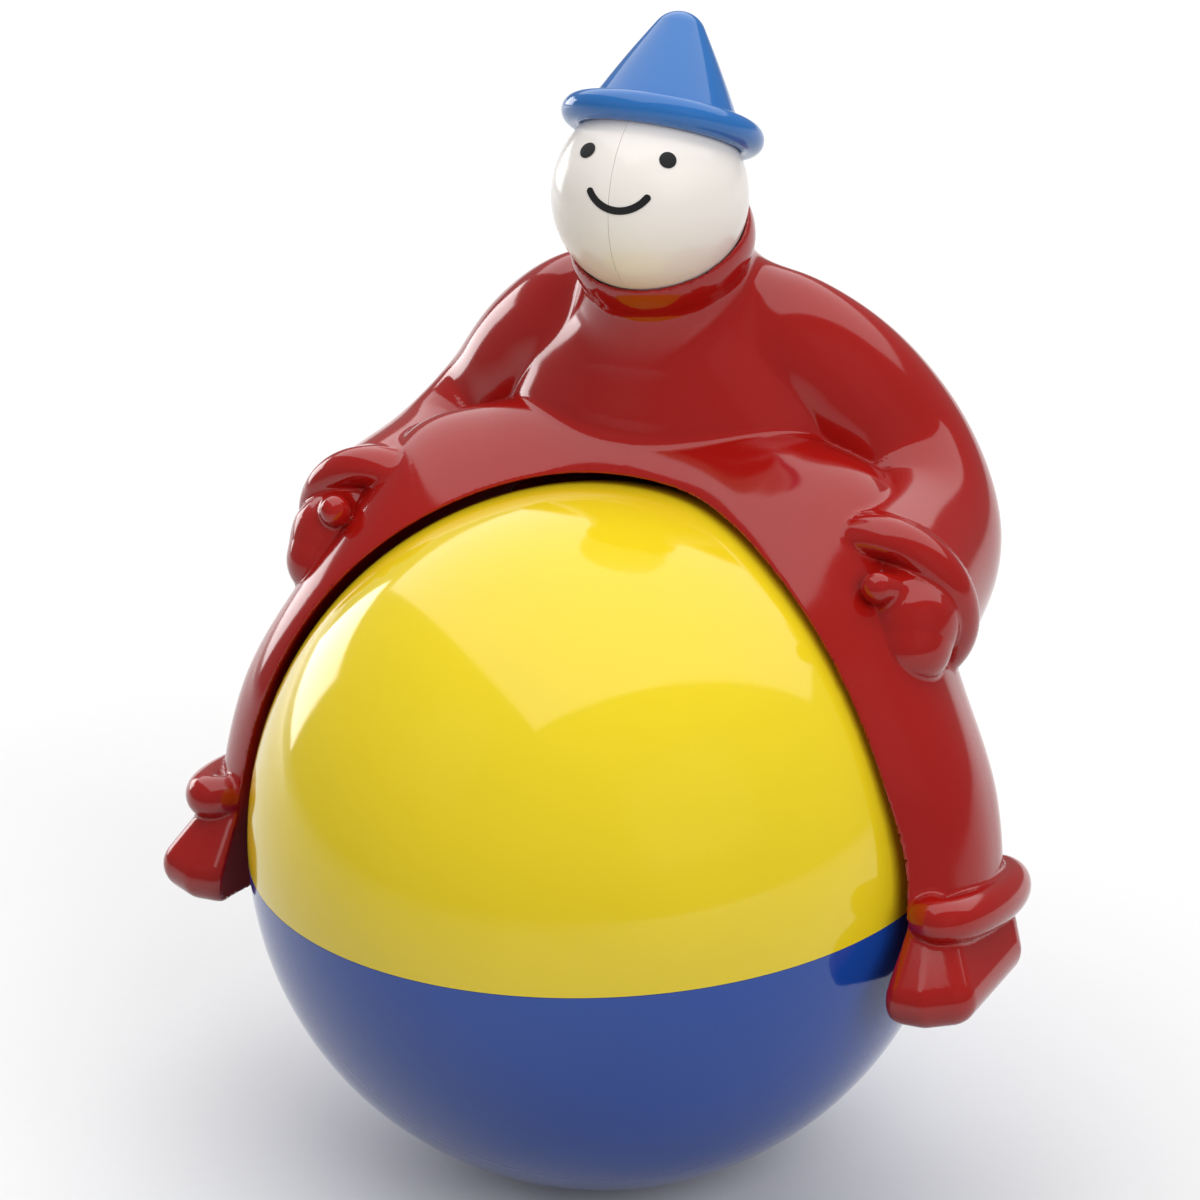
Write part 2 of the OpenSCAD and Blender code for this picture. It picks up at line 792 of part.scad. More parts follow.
// Everything on the outside of the rider's right half, without its hollow
module rider_outside() {
    difference() {
        leg_form(0);
        below_cuff();
    }
    torso_form(0);
    sleeve();
    hand(0);
    thumb();
    cuff();
    foot(0);
    collar();
}

// The hollow of the right half, kept clear of the cup under the head
module rider_inside() {
    difference() {
        union() {
            leg_form(rider_wall);
            torso_form(rider_wall);
            arm_form(0, arm_last - mouth_depth_share - mouth_wall_share, rider_wall);
            hand(rider_wall);
            foot(rider_wall);
        }
        translate(head_place)
            sphere(r = cup_radius + rider_wall, $fn = 2 * plain);
    }
}

// Room the ball needs between the legs, running on down past the ankles
module ball_room() {
    room = (1 + room_share) * ball_radius;
    hull() {
        sphere(r = room, $fn = 2 * plain);
        for (drop = room_drop_shares) {
            translate([0, 0, -drop * ball_radius])
                scale([1 + ankle_room_share, 1, 1])
                    sphere(r = room, $fn = 2 * plain);
        }
    }
}

// Place of a peg, or of a point on its web further out towards the wall, as shares
function peg_place(row, reach) =
    let (way = row - peg_middle_shares)
    let (place = row + reach * way / norm(way))
    [0, place[0], place[1]];

// Bosses inside the right half: ankle, neck and seam
module rider_bosses() {
    intersection() {
        union() {
            rod(leg_boss_radius, ball_radius + leg_boss_gap, ball_radius + pin_outside + rider_wall, plain);
            on_neck()
                translate([0, 0, bush_foot - rider_wall])
                    cylinder(r = neck_boss_radius, h = -bush_foot, $fn = plain);
            for (row = [chest_peg_shares, back_peg_shares, nape_peg_shares]) {
                hull() {
                    for (reach = [0, peg_web_share]) {
                        translate(ball_radius * peg_place(row, reach))
                            rod(peg_boss_radius, 0, peg_reach + rider_wall, plain);
                    }
                }
            }
        }
        union() {
            leg_form(rider_wall / 2);
            torso_form(rider_wall / 2);
        }
    }
}

// Seats for the ankle pin, the neck bush and the seam pegs in the right half
module rider_seats() {
    rod(snug(pin_radius), ball_radius, ball_radius + pin_outside, plain);
    on_neck() {
        translate([0, 0, bush_foot])
            cylinder(r = snug(neck_bush_radius), h = -bush_foot, $fn = plain);
        translate([0, 0, bush_foot - seat_gap])
            cylinder(r = snug(neck_flange_radius), h = neck_flange_height + 2 * seat_gap, $fn = plain);
        translate([0, 0, bush_foot - rider_wall - overrun])
            cylinder(r = stud_flange_radius + stud_play, h = rider_wall + overrun, $fn = plain);
    }
    for (row = [chest_peg_shares, back_peg_shares, nape_peg_shares]) {
        translate(ball_radius * [0, row[0], row[1]])
            rod(snug(peg_radius), -overrun, peg_reach, plain);
    }
}

// Right half of the rider in its own frame
module rider_half() {
    difference() {
        union() {
            difference() {
                rider_outside();
                rider_inside();
                ball_room();
            }
            rider_bosses();
        }
        rider_seats();
        translate(head_place)
            sphere(r = cup_radius, $fn = 2 * plain);
        mirror([1, 0, 0])
            right_side();
    }
}

module rider_left_half() {
    color(red)
        on_rider()
            mirror([1, 0, 0])
                rider_half();
}

module rider_right_half() {
    color(red)
        on_rider()
            rider_half();
}

module ankle_pin_left() {
    color(steel)
        on_ball()
            rotate([0, 0, 180])
                rod(pin_radius, ball_radius - pin_inside, ball_radius + pin_outside);
}

module ankle_pin_right() {
    color(steel)
        on_ball()
            rod(pin_radius, ball_radius - pin_inside, ball_radius + pin_outside);
}

module neck_bush() {
    color(acetal)
        on_rider()
            on_neck()
                translate([0, 0, bush_foot])
                    difference() {
                        union() {
                            cylinder(r = neck_bush_radius, h = neck_bush_height, $fn = fine);
                            cylinder(r = neck_flange_radius, h = neck_flange_height, $fn = fine);
                        }
                        translate([0, 0, -overrun])
                            cylinder(r = stud_radius + pin_gap, h = neck_bush_height + 2 * overrun, $fn = fine);
                    }
}

module seam_pegs() {
    color(red)
        on_rider()
            for (row = [chest_peg_shares, back_peg_shares, nape_peg_shares]) {
                translate(ball_radius * [0, row[0], row[1]])
                    rod(peg_radius, -peg_reach, peg_reach);
            }
}

// Right half of the head round its own centre, neck along the tipped axis and hat upright
module head_half() {
    difference() {
        union() {
            difference() {
                sphere(r = head_radius, $fn = fine);
                sphere(r = head_radius - head_wall, $fn = fine);
            }
            rotate([neck_tip_angle, 0, 0])
                intersection() {
                    translate([0, 0, -head_radius])
                        cylinder(r = grip_radius, h = stud_reach + head_wall, $fn = fine);
                    sphere(r = head_radius - lap_gap, $fn = fine);
                }
        }
        rotate([neck_tip_angle, 0, 0])
            stud_form(grip_gap);
        cylinder(r = hat_peg_radius + grip_gap, h = head_radius + overrun, $fn = fine);
        mirror([1, 0, 0])
            right_side();
    }
}

module head_left_half() {
    color(ivory)
        on_rider()
            translate(head_place)
                mirror([1, 0, 0])
                    head_half();
}

module head_right_half() {
    color(ivory)
        on_rider()
            translate(head_place)
                head_half();
}

// Grooved stud from the flange under the neck bush up into the head
module stud_form(grow) {
    top = -head_radius + stud_reach;
    foot_z = bush_foot - stud_play - stud_flange_height;
    difference() {
        union() {
            translate([0, 0, foot_z])
                cylinder(r = stud_radius + grow, h = top - foot_z + grow, $fn = fine);
            translate([0, 0, foot_z])
                cylinder(r = stud_flange_radius + grow, h = stud_flange_height, $fn = fine);
        }
        translate([0, 0, top - groove_drop - groove_width + grow])
            difference() {
                cylinder(r = stud_flange_radius, h = groove_width - 2 * grow, $fn = fine);
                translate([0, 0, -overrun])
                    cylinder(r = groove_radius + grow, h = groove_width + 2 * overrun, $fn = fine);
            }
    }
}

module neck_stud() {
    color(acetal)
        on_rider()
            on_neck()
                stud_form(0);
}

// Profile of the hat: a slightly bowed cone with a round tip and a rolled brim
module hat_profile() {
    brim_z = brim_rise_share * ball_radius;
    base = cone_base_share * ball_radius;
    tip = cone_round_share * ball_radius;
    tip_z = cone_tip_share * ball_radius - tip;
    bow = cone_bow_share * ball_radius;
    flank = [
        for (i = [0 : loop_points / 2])
            let (s = 2 * i / loop_points)
            [base + (tip - base) * s + bow * sin(180 * s), brim_z + (tip_z - brim_z) * s]
    ];
    hollow_top = tip_z - 2 * hat_wall;
    crown = [
        for (i = [1 : loop_points / 2])
            let (a = 180 * i / loop_points)
            [tip * cos(a), tip_z + tip * sin(a)]
    ];
    difference() {
        union() {
            polygon(concat([[0, brim_z]], flank, crown));
            translate([brim_radius_share * ball_radius, brim_z])
                circle(r = brim_girth_share * ball_radius, $fn = fine);
            polygon([
                [0, brim_z - brim_girth_share * ball_radius],
                [brim_radius_share * ball_radius, brim_z - brim_girth_share * ball_radius],
                [brim_radius_share * ball_radius, brim_z],
                [0, brim_z]
            ]);
        }
        circle(r = head_radius + grip_gap, $fn = fine);
        polygon(concat(
            [[0, brim_z]],
            [for (p = flank) if (p[1] - hat_wall < hollow_top) [p[0] - hat_wall, p[1] - hat_wall]],
            [[0, hollow_top]]
        ));
    }
}

module hat() {
    color(sky)
        on_rider()
            translate(head_place) {
                rotate_extrude($fn = fine)
                    hat_profile();
                translate([0, 0, head_radius - hat_peg_depth])
                    cylinder(
                        r = hat_peg_radius,
                        h = cone_tip_share * ball_radius - cone_round_share * ball_radius
                            - head_radius + hat_peg_depth,
                        $fn = fine
                    );
            }
}

// Thin skin of ink just outside the head
module ink_skin() {
    difference() {
        sphere(r = head_radius + ink, $fn = fine);
        sphere(r = head_radius, $fn = fine);
    }
}

module eye_prints() {
    color(black)
        on_rider()
            translate(head_place)
                for (side = [-1, 1]) {
                    intersection() {
                        ink_skin();
                        rotate([0, 0, face_turn_angle + side * eye_spread_angle])
                            rotate([90 - eye_rise_angle, 0, 0])
                                cylinder(r = eye_share * head_radius, h = 2 * head_radius, $fn = fine);
                    }
                }
}

module mouth_print() {
    bow = mouth_radius * head_radius;
    half = stroke_share * head_radius;
    sweep = asin(mouth_half_share / mouth_radius);
    color(black)
        on_rider()
            translate(head_place)
                intersection() {
                    ink_skin();
                    rotate([0, 0, face_turn_angle])
                        rotate([90, 0, 0])
                            translate([0, bow * cos(sweep) - mouth_drop_share * head_radius])
                                linear_extrude(height = 2 * head_radius) {
                                    intersection() {
                                        difference() {
                                            circle(r = bow + half, $fn = fine);
                                            circle(r = bow - half, $fn = fine);
                                        }
                                        polygon([
                                            [0, 0],
                                            2 * bow * [-sin(sweep), -cos(sweep)],
                                            [0, -3 * bow],
                                            2 * bow * [sin(sweep), -cos(sweep)]
                                        ]);
                                    }
                                    for (end = [-1, 1]) {
                                        translate(bow * [end * sin(sweep), -cos(sweep)])
                                            circle(r = half, $fn = fine);
                                    }
                                }
                }
}

ball_upper_shell();
ball_lower_shell();
ballast_weight();
ballast_washer();
ballast_screw();
bush_left();
bush_right();
rider_left_half();
rider_right_half();
ankle_pin_left();
ankle_pin_right();
neck_bush();
seam_pegs();
head_left_half();
head_right_half();
neck_stud();
hat();
eye_prints();
mouth_print();
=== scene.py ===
"""Roly poly toy: a weighted ball with a jointed figure astride it, dressed over its packed solids."""

import json
import math

import bmesh
import bpy
import numpy as np
from bpy.props import FloatProperty, FloatVectorProperty, IntProperty, PointerProperty
from mathutils import Matrix, Vector


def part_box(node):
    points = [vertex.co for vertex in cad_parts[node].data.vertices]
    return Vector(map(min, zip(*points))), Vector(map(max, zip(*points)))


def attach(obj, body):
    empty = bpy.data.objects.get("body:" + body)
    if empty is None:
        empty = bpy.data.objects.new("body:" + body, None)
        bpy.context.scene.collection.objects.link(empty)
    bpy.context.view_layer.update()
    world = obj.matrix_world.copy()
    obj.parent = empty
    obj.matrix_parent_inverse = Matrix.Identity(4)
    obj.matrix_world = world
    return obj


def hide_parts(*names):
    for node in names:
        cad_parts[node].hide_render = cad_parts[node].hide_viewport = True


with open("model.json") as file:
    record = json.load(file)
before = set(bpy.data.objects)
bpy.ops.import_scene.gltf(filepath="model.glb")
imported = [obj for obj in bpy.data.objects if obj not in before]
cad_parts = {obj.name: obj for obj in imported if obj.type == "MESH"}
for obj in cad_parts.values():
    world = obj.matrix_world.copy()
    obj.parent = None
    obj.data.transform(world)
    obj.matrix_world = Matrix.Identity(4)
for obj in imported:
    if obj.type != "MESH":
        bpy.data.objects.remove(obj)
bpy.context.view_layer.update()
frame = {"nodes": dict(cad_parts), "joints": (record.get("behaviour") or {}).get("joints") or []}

bl_info = {
    "name": "Roly poly toy",
    "version": (1, 0, 0),
    "blender": (4, 5, 0),
    "location": "3D View > Sidebar > Toy",
    "description": "Dresses the packed roly poly toy: ball, figure, head, hat, print, inner parts and stage",
    "category": "Object",
}

JOINTS = {joint["name"]: joint for joint in frame["joints"]}
BALL_CENTRE = Vector(JOINTS["rider_swing"]["pos_m"])
HEAD_CENTRE = Vector(JOINTS["head_turn"]["pos_m"])
BALL_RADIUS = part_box("ball_upper_shell")[1].z - BALL_CENTRE.z
HEAD_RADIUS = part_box("head_right_half")[1].x


def linear(code):
    """Linear colour of an sRGB hex value."""
    parts = [int(code[i:i + 2], 16) / 255 for i in (1, 3, 5)]
    return tuple(p / 12.92 if p <= 0.04045 else ((p + 0.055) / 1.055) ** 2.4 for p in parts)


def shade(name, code, words):
    """Colour property with a hex default."""
    return FloatVectorProperty(
        name=name, description=words, subtype="COLOR", size=3, min=0.0, max=1.0, default=linear(code))


def length(name, default, words):
    """Length property in metres."""
    return FloatProperty(
        name=name, description=words, subtype="DISTANCE", unit="LENGTH", min=0.0, precision=5,
        default=default)


def degrees(name, default, words):
    """Angle property with a default in degrees."""
    return FloatProperty(
        name=name, description=words, subtype="ANGLE", unit="ROTATION", default=math.radians(default))


class BallSizes(bpy.types.PropertyGroup):
    """Sizes of the two shells of the ball."""

    radius: length("Radius", BALL_RADIUS, "Outer radius of the ball")
    wall: length("Wall", 0.003, "Wall of the shells")
    edge: length("Edge", 0.00016, "Rounding of the edges at the parting line")
    parting: length("Parting", 0.00003, "Half of the gap at the parting line")
    bush: length("Bush", 0.00702, "Radius of the holes for the bushes")
    segments: IntProperty(name="Segments", description="Faces round the ball", min=32, max=512, default=224)


class FigureSizes(bpy.types.PropertyGroup):
    """Sizes of the figure astride the ball."""

    tip: degrees("Tip", 30, "How far the figure leans back in the stored pose")
    wall: length("Wall", 0.0018, "Wall of the hollow halves")
    cell: length("Cell", 0.00057, "Spacing of the grid that the skin is drawn on")
    seam: length("Seam", 0.000004, "Half of the gap between the two halves")


class HeadSizes(bpy.types.PropertyGroup):
    """Sizes of the head and of the print on it."""

    radius: length("Radius", HEAD_RADIUS, "Radius of the head")
    wall: length("Wall", 0.002, "Wall of the two halves")
    seam: length("Seam", 0.000001, "Half of the gap between the two halves")
    ink: length("Ink", 0.00012, "Thickness of the printed ink")
    eye: length("Eye", 0.086 * HEAD_RADIUS, "Radius of an eye")
    far_wide: FloatProperty(
        name="Far eye width", description="Width of the right-hand eye against the left-hand one", min=0.5,
        default=1.14)
    far_tall: FloatProperty(
        name="Far eye height", description="Height of the right-hand eye against the left-hand one", min=0.5,
        default=0.98)
    turn: degrees("Turn", 5, "Turn of the face to the figure's left")
    spread: degrees("Spread", 25.7, "Angle of each eye from the middle of the face")
    rise: degrees("Rise", 12.7, "Angle of the eyes above the head's middle")
    mouth_half: length("Mouth half", 0.3 * HEAD_RADIUS, "Half the width of the mouth")
    mouth_dip: length("Mouth dip", 0.165 * HEAD_RADIUS, "Sag of the mouth line")
    mouth_drop: length("Mouth drop", 0.19 * HEAD_RADIUS, "Drop of the mouth's ends below the head's middle")
    stroke: length("Stroke", 0.035 * HEAD_RADIUS, "Half the width of the mouth line")


class HatSizes(bpy.types.PropertyGroup):
    """Sizes of the pointed hat."""

    brim_rise: length("Brim rise", 0.198 * BALL_RADIUS, "Height of the brim above the head's middle")
    brim_radius: length("Brim radius", 0.243 * BALL_RADIUS, "Radius of the brim's middle line")
    brim_girth: length("Brim girth", 0.0425 * BALL_RADIUS, "Radius of the rolled brim")
    base: length("Cone base", 0.228 * BALL_RADIUS, "Radius of the cone at the brim")
    tip: length("Tip", 0.522 * BALL_RADIUS, "Height of the tip above the head's middle")
    tip_round: length("Tip round", 0.08 * BALL_RADIUS, "Radius of the rounded tip")
    bow: length("Bow", 0.004 * BALL_RADIUS, "How far the cone's flank bows out")


class FinishColours(bpy.types.PropertyGroup):
    """Colours of the finishes."""

    red: shade("Red", "#A2140F", "Figure")
    yellow: shade("Yellow", "#F2D622", "Upper shell of the ball")
    deep_blue: shade("Deep blue", "#1648A4", "Lower shell of the ball")
    mid_blue: shade("Mid blue", "#2C70BA", "Hat")
    ivory: shade("Ivory", "#F4EDE6", "Head")
    ink: shade("Ink", "#151517", "Printed face")
    acetal: shade("Acetal", "#DEDDD6", "Bushes and neck stud")
    zinc: shade("Zinc", "#B9BCC0", "Pins, washer and screw")
    iron: shade("Iron", "#4A4A4C", "Weight")
    floor: shade("Floor", "#EAEAEA", "Floor")


class ToySettings(bpy.types.PropertyGroup):
    """Everything that can be set on the toy."""

    ball: PointerProperty(type=BallSizes)
    figure: PointerProperty(type=FigureSizes)
    head: PointerProperty(type=HeadSizes)
    hat: PointerProperty(type=HatSizes)
    colours: PointerProperty(type=FinishColours)


# Finishes

# Refraction of ABS
ABS_IOR = 1.53


def add(tree, kind, values=None, **settings):
    """Adds a node; values are constants or sockets to link from."""
    made = tree.nodes.new(kind)
    for key, value in settings.items():
        setattr(made, key, value)
    for socket, value in (values or {}).items():
        if isinstance(value, bpy.types.NodeSocket):
            tree.links.new(value, made.inputs[socket])
        else:
            made.inputs[socket].default_value = value
    return made


def start_finish(name):
    """Empty material, its node tree and its Object coordinates."""
    finish = bpy.data.materials.get(name)
    if finish:
        bpy.data.materials.remove(finish)
    finish = bpy.data.materials.new(name)
    finish.use_nodes = True
    tree = finish.node_tree
    tree.nodes.clear()
    place = add(tree, "ShaderNodeTexCoord").outputs["Object"]
    return finish, tree, place


def end_finish(tree, values):
    """Shader with these values, shown as the material's surface."""
    body = add(tree, "ShaderNodeBsdfPrincipled", values)
    add(tree, "ShaderNodeOutputMaterial", {"Surface": body.outputs["BSDF"]})


def rgba(colour, share=1.0):
    """Colour with an alpha of 1, scaled by a share."""
    return (*(share * c for c in colour), 1.0)


def noise(tree, place, grain, detail, **more):
    """Clouds of a size in metres."""
    values = {"Vector": place, "Scale": 1 / grain, "Detail": detail, **more}
    return add(tree, "ShaderNodeTexNoise", values).outputs["Fac"]


def tones(tree, factor, colour, low, high=1.0):
    """Colour that runs between two shares of itself."""
    values = {"Factor": factor, "A": rgba(colour, low), "B": rgba(colour, high)}
    return add(tree, "ShaderNodeMix", values, data_type="RGBA").outputs["Result"]


def ranged(tree, value, low, high, start=0.0, stop=1.0):
    """Value brought from the range of start and stop to that of low and high."""
    values = {"Value": value, "From Min": start, "From Max": stop, "To Min": low, "To Max": high}
    return add(tree, "ShaderNodeMapRange", values).outputs["Result"]


def bump(tree, height, strength, depth, **more):
    """Normal of a surface that a height lifts by up to a depth in metres."""
    values = {"Strength": strength, "Distance": depth, "Height": height, **more}
    return add(tree, "ShaderNodeBump", values).outputs["Normal"]


def reckon(tree, operation, *values):
    """Result of a math node."""
    return add(tree, "ShaderNodeMath", dict(enumerate(values)), operation=operation).outputs[0]


def moulded_abs(name, colour, depth, gloss, wave):
    """Polished moulded ABS: an even deep colour under a sharp gloss. The eye sees clear edges of the
    studio panels in it, bent a little by the slow flow waves of the moulding, and a faint dulling
    where hands have been."""
    finish, tree, place = start_finish(name)
    # Flow of the melt: slow clouds about 35 mm across, a few per cent darker
    flow = noise(tree, place, 0.035, 3.0)
    # Handling: patches about 12 mm across that are a little less glossy
    touch = noise(tree, place, 0.012, 5.0, Roughness=0.6)
    dull = ranged(tree, touch, gloss, gloss + 0.05, 0.35, 0.75)
    # Skin of the mould: waves 14 mm apart and an orange peel of 1.5 mm, coarser than the real one to show
    swell = bump(tree, noise(tree, place, 0.014, 1.0), 1.0, wave)
    skin = bump(tree, noise(tree, place, 0.0015, 2.0), 1.0, 0.000004, Normal=swell)
    end_finish(tree, {
        "Base Color": tones(tree, flow, colour, depth), "Roughness": dull, "IOR": ABS_IOR, "Normal": skin})
    return finish


def core_side_abs(colour):
    """Moulded ABS as it comes off the core: the same plastic as the outside, but unpolished, so it
    drinks the light between figure and ball."""
    finish, tree, place = start_finish("unpolished_abs_red")
    # Machining marks of the core, about 0.5 mm apart
    marks = noise(tree, place, 0.0005, 4.0)
    end_finish(tree, {
        "Base Color": tones(tree, marks, colour, 0.9, 1.2), "Roughness": 0.75, "IOR": ABS_IOR,
        "Specular IOR Level": 0.12, "Normal": bump(tree, marks, 0.6, 0.00005)})
    return finish


def pad_print(colour):
    """Pad-printed ink: a thin black film, duller than the head, with the fine grain of the pad."""
    finish, tree, place = start_finish("pad_printed_ink")
    # Grain of the pad: 0.4 mm
    grain = noise(tree, place, 0.0004, 3.0)
    end_finish(tree, {
        "Base Color": tones(tree, grain, colour, 0.7, 1.3), "Roughness": ranged(tree, grain, 0.4, 0.5),
        "IOR": 1.5, "Normal": bump(tree, grain, 0.5, 0.00001)})
    return finish


def turned_acetal(colour):
    """Turned acetal: waxy off-white, satin, with tool rings drawn coarser than the real ones to show."""
    finish, tree, place = start_finish("turned_acetal")
    # The bands of the wave repeat every 0.314 of its unit, which is 6 mm, so about 1.9 mm apart
    values = {"Vector": place, "Scale": 1 / 0.006, "Distortion": 0.4, "Detail": 1.0}
    rings = add(tree, "ShaderNodeTexWave", values, bands_direction="X").outputs["Fac"]
    end_finish(tree, {
        "Base Color": tones(tree, rings, colour, 0.94), "Roughness": 0.38, "IOR": 1.48,
        "Normal": bump(tree, rings, 0.3, 0.00002)})
    return finish


def zinc_plate(colour):
    """Bright zinc plate on steel: a cool metal with cloudy patches of the bath about 2 mm across."""
    finish, tree, place = start_finish("zinc_plated_steel")
    cloud = noise(tree, place, 0.002, 4.0)
    end_finish(tree, {
        "Base Color": tones(tree, cloud, colour, 0.82), "Metallic": 1.0,
        "Roughness": ranged(tree, cloud, 0.2, 0.38)})
    return finish


def sand_cast_iron(colour):
    """Sand-cast iron: dark and dull, with a grit of about 0.8 mm from the mould sand."""
    finish, tree, place = start_finish("sand_cast_iron")
    grit = noise(tree, place, 0.0008, 6.0)
    end_finish(tree, {
        "Base Color": tones(tree, grit, colour, 0.6), "Metallic": 0.8, "Roughness": 0.7,
        "Normal": bump(tree, grit, 0.8, 0.00025)})
    return finish


# Meshes

# A height that no shell reaches, so that its cap stays uncut
UNCUT = 2.0
# Points of a half shell that lie closer than this become one
SHELL_WELD = 0.000002
# Angles in degrees from which an edge is rounded, or shaded as an edge
BEVEL_ANGLE, SHARP_ANGLE, HAT_SHARP_ANGLE = 50, 40, 35
# How near to the ball's radius, as a share of it, and how square to it a face of the outer skin lies
SKIN_SLACK, SKIN_COSINE = 1e-4, 0.99
# Faces round the head and the hat
ROUND = 160


def add_piece(name, mesh, finish, body, slot, *nodes):
    """Shows a finished mesh on a body in place of CAD nodes."""
    obj = bpy.data.objects.new(name, mesh)
    bpy.context.scene.collection.objects.link(obj)
    if finish.name not in [m.name for m in mesh.materials if m]:
        mesh.materials.clear()
        mesh.materials.append(finish)
    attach(obj, body)
    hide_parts(*nodes)


def smooth_mesh(name, points, faces):
    """Smooth-shaded mesh from lists."""
    mesh = bpy.data.meshes.new(name)
    mesh.from_pydata([tuple(p) for p in points], [], [tuple(f) for f in faces])
    mesh.update()
    mesh.shade_smooth()
    return mesh


def revolve(name, profile, count):
    """Closed mesh of a profile of (radius, height), from pole to pole, turned about Z."""
    points = [(0.0, 0.0, profile[0][1]), (0.0, 0.0, profile[-1][1])]
    rows = profile[1:-1]
    for radius, height in rows:
        for i in range(count):
            a = 2 * math.pi * i / count
            points.append((radius * math.cos(a), radius * math.sin(a), height))
    faces = []
    for i in range(count):
        j = (i + 1) % count
        faces.append((0, 2 + i, 2 + j))
        for r in range(len(rows) - 1):
            near = 2 + r * count
            far = near + count
            faces.append((near + i, far + i, far + j, near + j))
        last = 2 + (len(rows) - 1) * count
        faces.append((last + i, 1, last + j))
    return smooth_mesh(name, points, faces)


def grown(name, tree, values, modifiers=()):
    """Plain mesh of a node tree's result, with modifiers on top of it."""
    obj = bpy.data.objects.new(name, bpy.data.meshes.new(name + "_seed"))
    bpy.context.scene.collection.objects.link(obj)
    grow = obj.modifiers.new("Grow", "NODES")
    grow.node_group = tree
    sockets = {item.name: item.identifier for item in tree.interface.items_tree if item.in_out == "INPUT"}
    for key, value in values.items():
        grow[sockets[key]] = value
    for kind, settings in modifiers:
        finish = obj.modifiers.new(kind.title(), kind)
        for key, value in settings.items():
            setattr(finish, key, value)
    ready = obj.evaluated_get(bpy.context.evaluated_depsgraph_get())
    mesh = bpy.data.meshes.new_from_object(ready)
    mesh.name = name
    bpy.data.objects.remove(obj)
    if not mesh.polygons:
        raise RuntimeError(f"the node tree of {name} gave no faces")
    return mesh


def new_tree(name, inputs):
    """Node tree with named inputs, each with its default or None for a material, and a geometry output."""
    kinds = {float: "NodeSocketFloat", int: "NodeSocketInt", type(None): "NodeSocketMaterial"}
    tree = bpy.data.node_groups.new(name, "GeometryNodeTree")
    for label, default in inputs.items():
        socket = tree.interface.new_socket(name=label, in_out="INPUT", socket_type=kinds[type(default)])
        if default is not None:
            socket.default_value = default
    tree.interface.new_socket(name="Geometry", in_out="OUTPUT", socket_type="NodeSocketGeometry")
    return tree, add(tree, "NodeGroupInput").outputs


def show_result(tree, geometry, material):
    """Gives a node tree's result a material and puts it out."""
    real = add(tree, "GeometryNodeRealizeInstances", {"Geometry": geometry})
    done = add(tree, "GeometryNodeSetMaterial", {"Geometry": real.outputs[0], "Material": material})
    add(tree, "NodeGroupOutput", {"Geometry": done.outputs[0]})


def half_shell_tree():
    """Half of a hollow ball, above z = 0: an inner skin pushed out by the wall, with a cap that may be
    cut flat and a cross hole."""
    tree, given = new_tree("half_shell", {
        "Radius": 0.06, "Wall": 0.003, "Flat height": UNCUT, "Parting": 0.0, "Hole radius": 0.0,
        "Segments": 224, "Material": None})
    inner = reckon(tree, "SUBTRACT", given["Radius"], given["Wall"])
    rings = reckon(tree, "DIVIDE", given["Segments"], 2.0)
    globe = add(
        tree, "GeometryNodeMeshUVSphere", {"Segments": given["Segments"], "Rings": rings, "Radius": inner})
    spot = add(tree, "GeometryNodeInputPosition").outputs[0]
    height = add(tree, "ShaderNodeSeparateXYZ", {0: spot}).outputs["Z"]
    low = add(tree, "FunctionNodeCompare", {"A": height, "B": 0.0}, operation="LESS_THAN")
    dome = add(
        tree, "GeometryNodeDeleteGeometry", {"Geometry": globe.outputs["Mesh"], "Selection": low.outputs[0]},
        domain="FACE").outputs[0]
    away = add(tree, "ShaderNodeVectorMath", {0: spot}, operation="NORMALIZE")
    skin = add(
        tree, "GeometryNodeExtrudeMesh",
        {"Mesh": dome, "Offset": away.outputs[0], "Offset Scale": given["Wall"], "Individual": False},
        mode="FACES")
    lining = add(tree, "GeometryNodeFlipFaces", {"Mesh": dome})
    both = add(tree, "GeometryNodeJoinGeometry", {0: skin.outputs["Mesh"]})
    tree.links.new(lining.outputs[0], both.inputs[0])
    whole = add(tree, "GeometryNodeMergeByDistance", {"Geometry": both.outputs[0], "Distance": SHELL_WELD})
    # The cap under the ball is cut flat, and the whole half stands off the parting plane by the gap
    now = add(tree, "ShaderNodeSeparateXYZ", {0: add(tree, "GeometryNodeInputPosition").outputs[0]}).outputs
    level = reckon(tree, "MINIMUM", now["Z"], given["Flat height"])
    clear = reckon(tree, "MAXIMUM", level, given["Parting"])
    set_at = add(tree, "ShaderNodeCombineXYZ", {"X": now["X"], "Y": now["Y"], "Z": clear}).outputs[0]
    flat = add(
        tree, "GeometryNodeSetPosition", {"Geometry": whole.outputs[0], "Position": set_at}).outputs[0]
    # A bar across the ball, longer than it is wide, bores the hole
    long = reckon(tree, "MULTIPLY", given["Radius"], 3.0)
    bar = add(
        tree, "GeometryNodeMeshCylinder", {"Vertices": 96, "Radius": given["Hole radius"], "Depth": long})
    across = add(
        tree, "GeometryNodeTransform", {"Geometry": bar.outputs["Mesh"], "Rotation": (0.0, math.pi / 2, 0.0)})
    bored = add(
        tree, "GeometryNodeMeshBoolean", {"Mesh 1": flat, "Mesh 2": across.outputs[0]},
        operation="DIFFERENCE", solver="EXACT")
    wanted = add(tree, "FunctionNodeCompare", {"A": given["Hole radius"], "B": 0.0}, operation="GREATER_THAN")
    pick = add(
        tree, "GeometryNodeSwitch",
        {"Switch": wanted.outputs[0], "False": flat, "True": bored.outputs["Mesh"]}, input_type="GEOMETRY")
    soft = add(tree, "GeometryNodeSetShadeSmooth", {"Geometry": pick.outputs[0], "Shade Smooth": True})
    show_result(tree, soft.outputs[0], given["Material"])
    return tree


